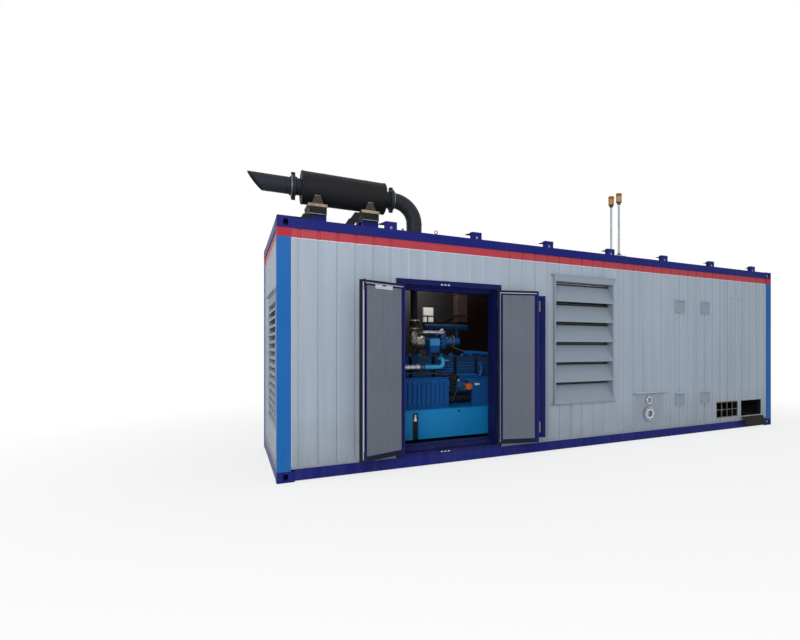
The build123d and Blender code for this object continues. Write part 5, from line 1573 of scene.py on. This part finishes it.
class GENSET_OT_studio(bpy.types.Operator):
    """Pale floor, soft light, white backdrop and the camera"""

    bl_idname = "genset.studio"
    bl_label = "Studio"

    def execute(self, context):
        scene = context.scene
        studio = scene.genset_studio
        reach, steps = 90.0, 12
        mesh = bpy.data.meshes.new("studio_floor")
        grid = bmesh.new()
        bmesh.ops.create_grid(grid, x_segments=steps, y_segments=steps, size=reach)
        grid.to_mesh(mesh)
        grid.free()
        floor = bpy.data.objects.new("studio_floor", mesh)
        scene.collection.objects.link(floor)
        floor.location = (4.2, 1.1, -0.0002)
        mesh.materials.append(studio_paper(studio.floor))

        world = bpy.data.worlds.new("Studio")
        scene.world = world
        world.use_nodes = True
        tree = world.node_tree
        tree.nodes.clear()
        even = add(tree, "Background", {"Color": rgba("F4F7FB"), "Strength": studio.sky})
        white = add(tree, "Background", {"Color": (1, 1, 1, 1), "Strength": 1.0})
        both = add(tree, "MixShader", {0: seen_directly(tree), 1: even, 2: white})
        add(tree, "OutputWorld", {"Surface": both})

        for name, at, aim, size, power in (
            ("key_lamp", (-2.8, -8.6, 4.4), (2.8, 0.0, 1.3), 5.0, studio.key),
            ("fill_lamp", (9.5, -9.0, 5.0), (6.0, 0.0, 1.3), 5.0, studio.key * 0.1),
            ("room_lamp", (2.2, 1.2, 2.7), (2.4, 2.2, 1.9), 0.6, studio.key * 0.03),
        ):
            lamp = bpy.data.lights.new(name, "AREA")
            lamp.shape = "SQUARE"
            lamp.size = size
            lamp.energy = power
            holder = bpy.data.objects.new(name, lamp)
            scene.collection.objects.link(holder)
            holder.location = at
            holder.rotation_euler = (Vector(aim) - Vector(at)).to_track_quat("-Z", "Y").to_euler()

        camera = bpy.data.cameras.new("photo_camera")
        camera.sensor_width = 36.0
        camera.lens = studio.lens
        camera.shift_x = -0.16
        camera.shift_y = 0.0344
        camera.clip_end = 300.0
        eye = bpy.data.objects.new("photo_camera", camera)
        scene.collection.objects.link(eye)
        eye.location = (-0.5129, -6.1903, 1.4713)
        eye.rotation_euler = (math.radians(90), 0.0, -0.5266)
        scene.camera = eye
        scene.view_settings.view_transform = "Standard"
        return {"FINISHED"}


OPERATORS = (
    GENSET_OT_studio,
    GENSET_OT_container_finish,
    GENSET_OT_weld_beads,
    GENSET_OT_wall_trim,
    GENSET_OT_roof_fittings,
    GENSET_OT_doorway,
    GENSET_OT_left_leaf,
    GENSET_OT_right_leaf,
    GENSET_OT_louvres,
    GENSET_OT_connections,
    GENSET_OT_cable_outlets,
    GENSET_OT_exhaust,
    GENSET_OT_beacons,
    GENSET_OT_block,
    GENSET_OT_turbocharger,
    GENSET_OT_gas_train,
    GENSET_OT_room,
    GENSET_OT_skid_side,
    GENSET_OT_wiring,
)


class GENSET_PT_panel(bpy.types.Panel):
    """Lists the settings and steps of the generator set"""

    bl_idname = "GENSET_PT_panel"
    bl_label = "Gas generator set"
    bl_space_type = "VIEW_3D"
    bl_region_type = "UI"
    bl_category = "Generator"

    def draw(self, context):
        layout = self.layout
        for group in ("genset_colours", "genset_sizes", "genset_studio"):
            settings = getattr(context.scene, group)
            box = layout.box()
            for key in settings.bl_rna.properties.keys():
                if key not in ("rna_type", "name"):
                    box.prop(settings, key)
        for operator in OPERATORS:
            layout.operator(operator.bl_idname)


CLASSES = (GensetColours, GensetSizes, GensetStudio, *OPERATORS, GENSET_PT_panel)


def register():
    for item in CLASSES:
        bpy.utils.register_class(item)
    bpy.types.Scene.genset_colours = PointerProperty(type=GensetColours)
    bpy.types.Scene.genset_sizes = PointerProperty(type=GensetSizes)
    bpy.types.Scene.genset_studio = PointerProperty(type=GensetStudio)


def unregister():
    del bpy.types.Scene.genset_studio
    del bpy.types.Scene.genset_sizes
    del bpy.types.Scene.genset_colours
    for item in reversed(CLASSES):
        bpy.utils.unregister_class(item)


def main():
    """Makes every piece in order."""
    register()
    for operator in OPERATORS:
        group, name = operator.bl_idname.split(".")
        getattr(getattr(bpy.ops, group), name)()


if __name__ == "__main__":
    main()
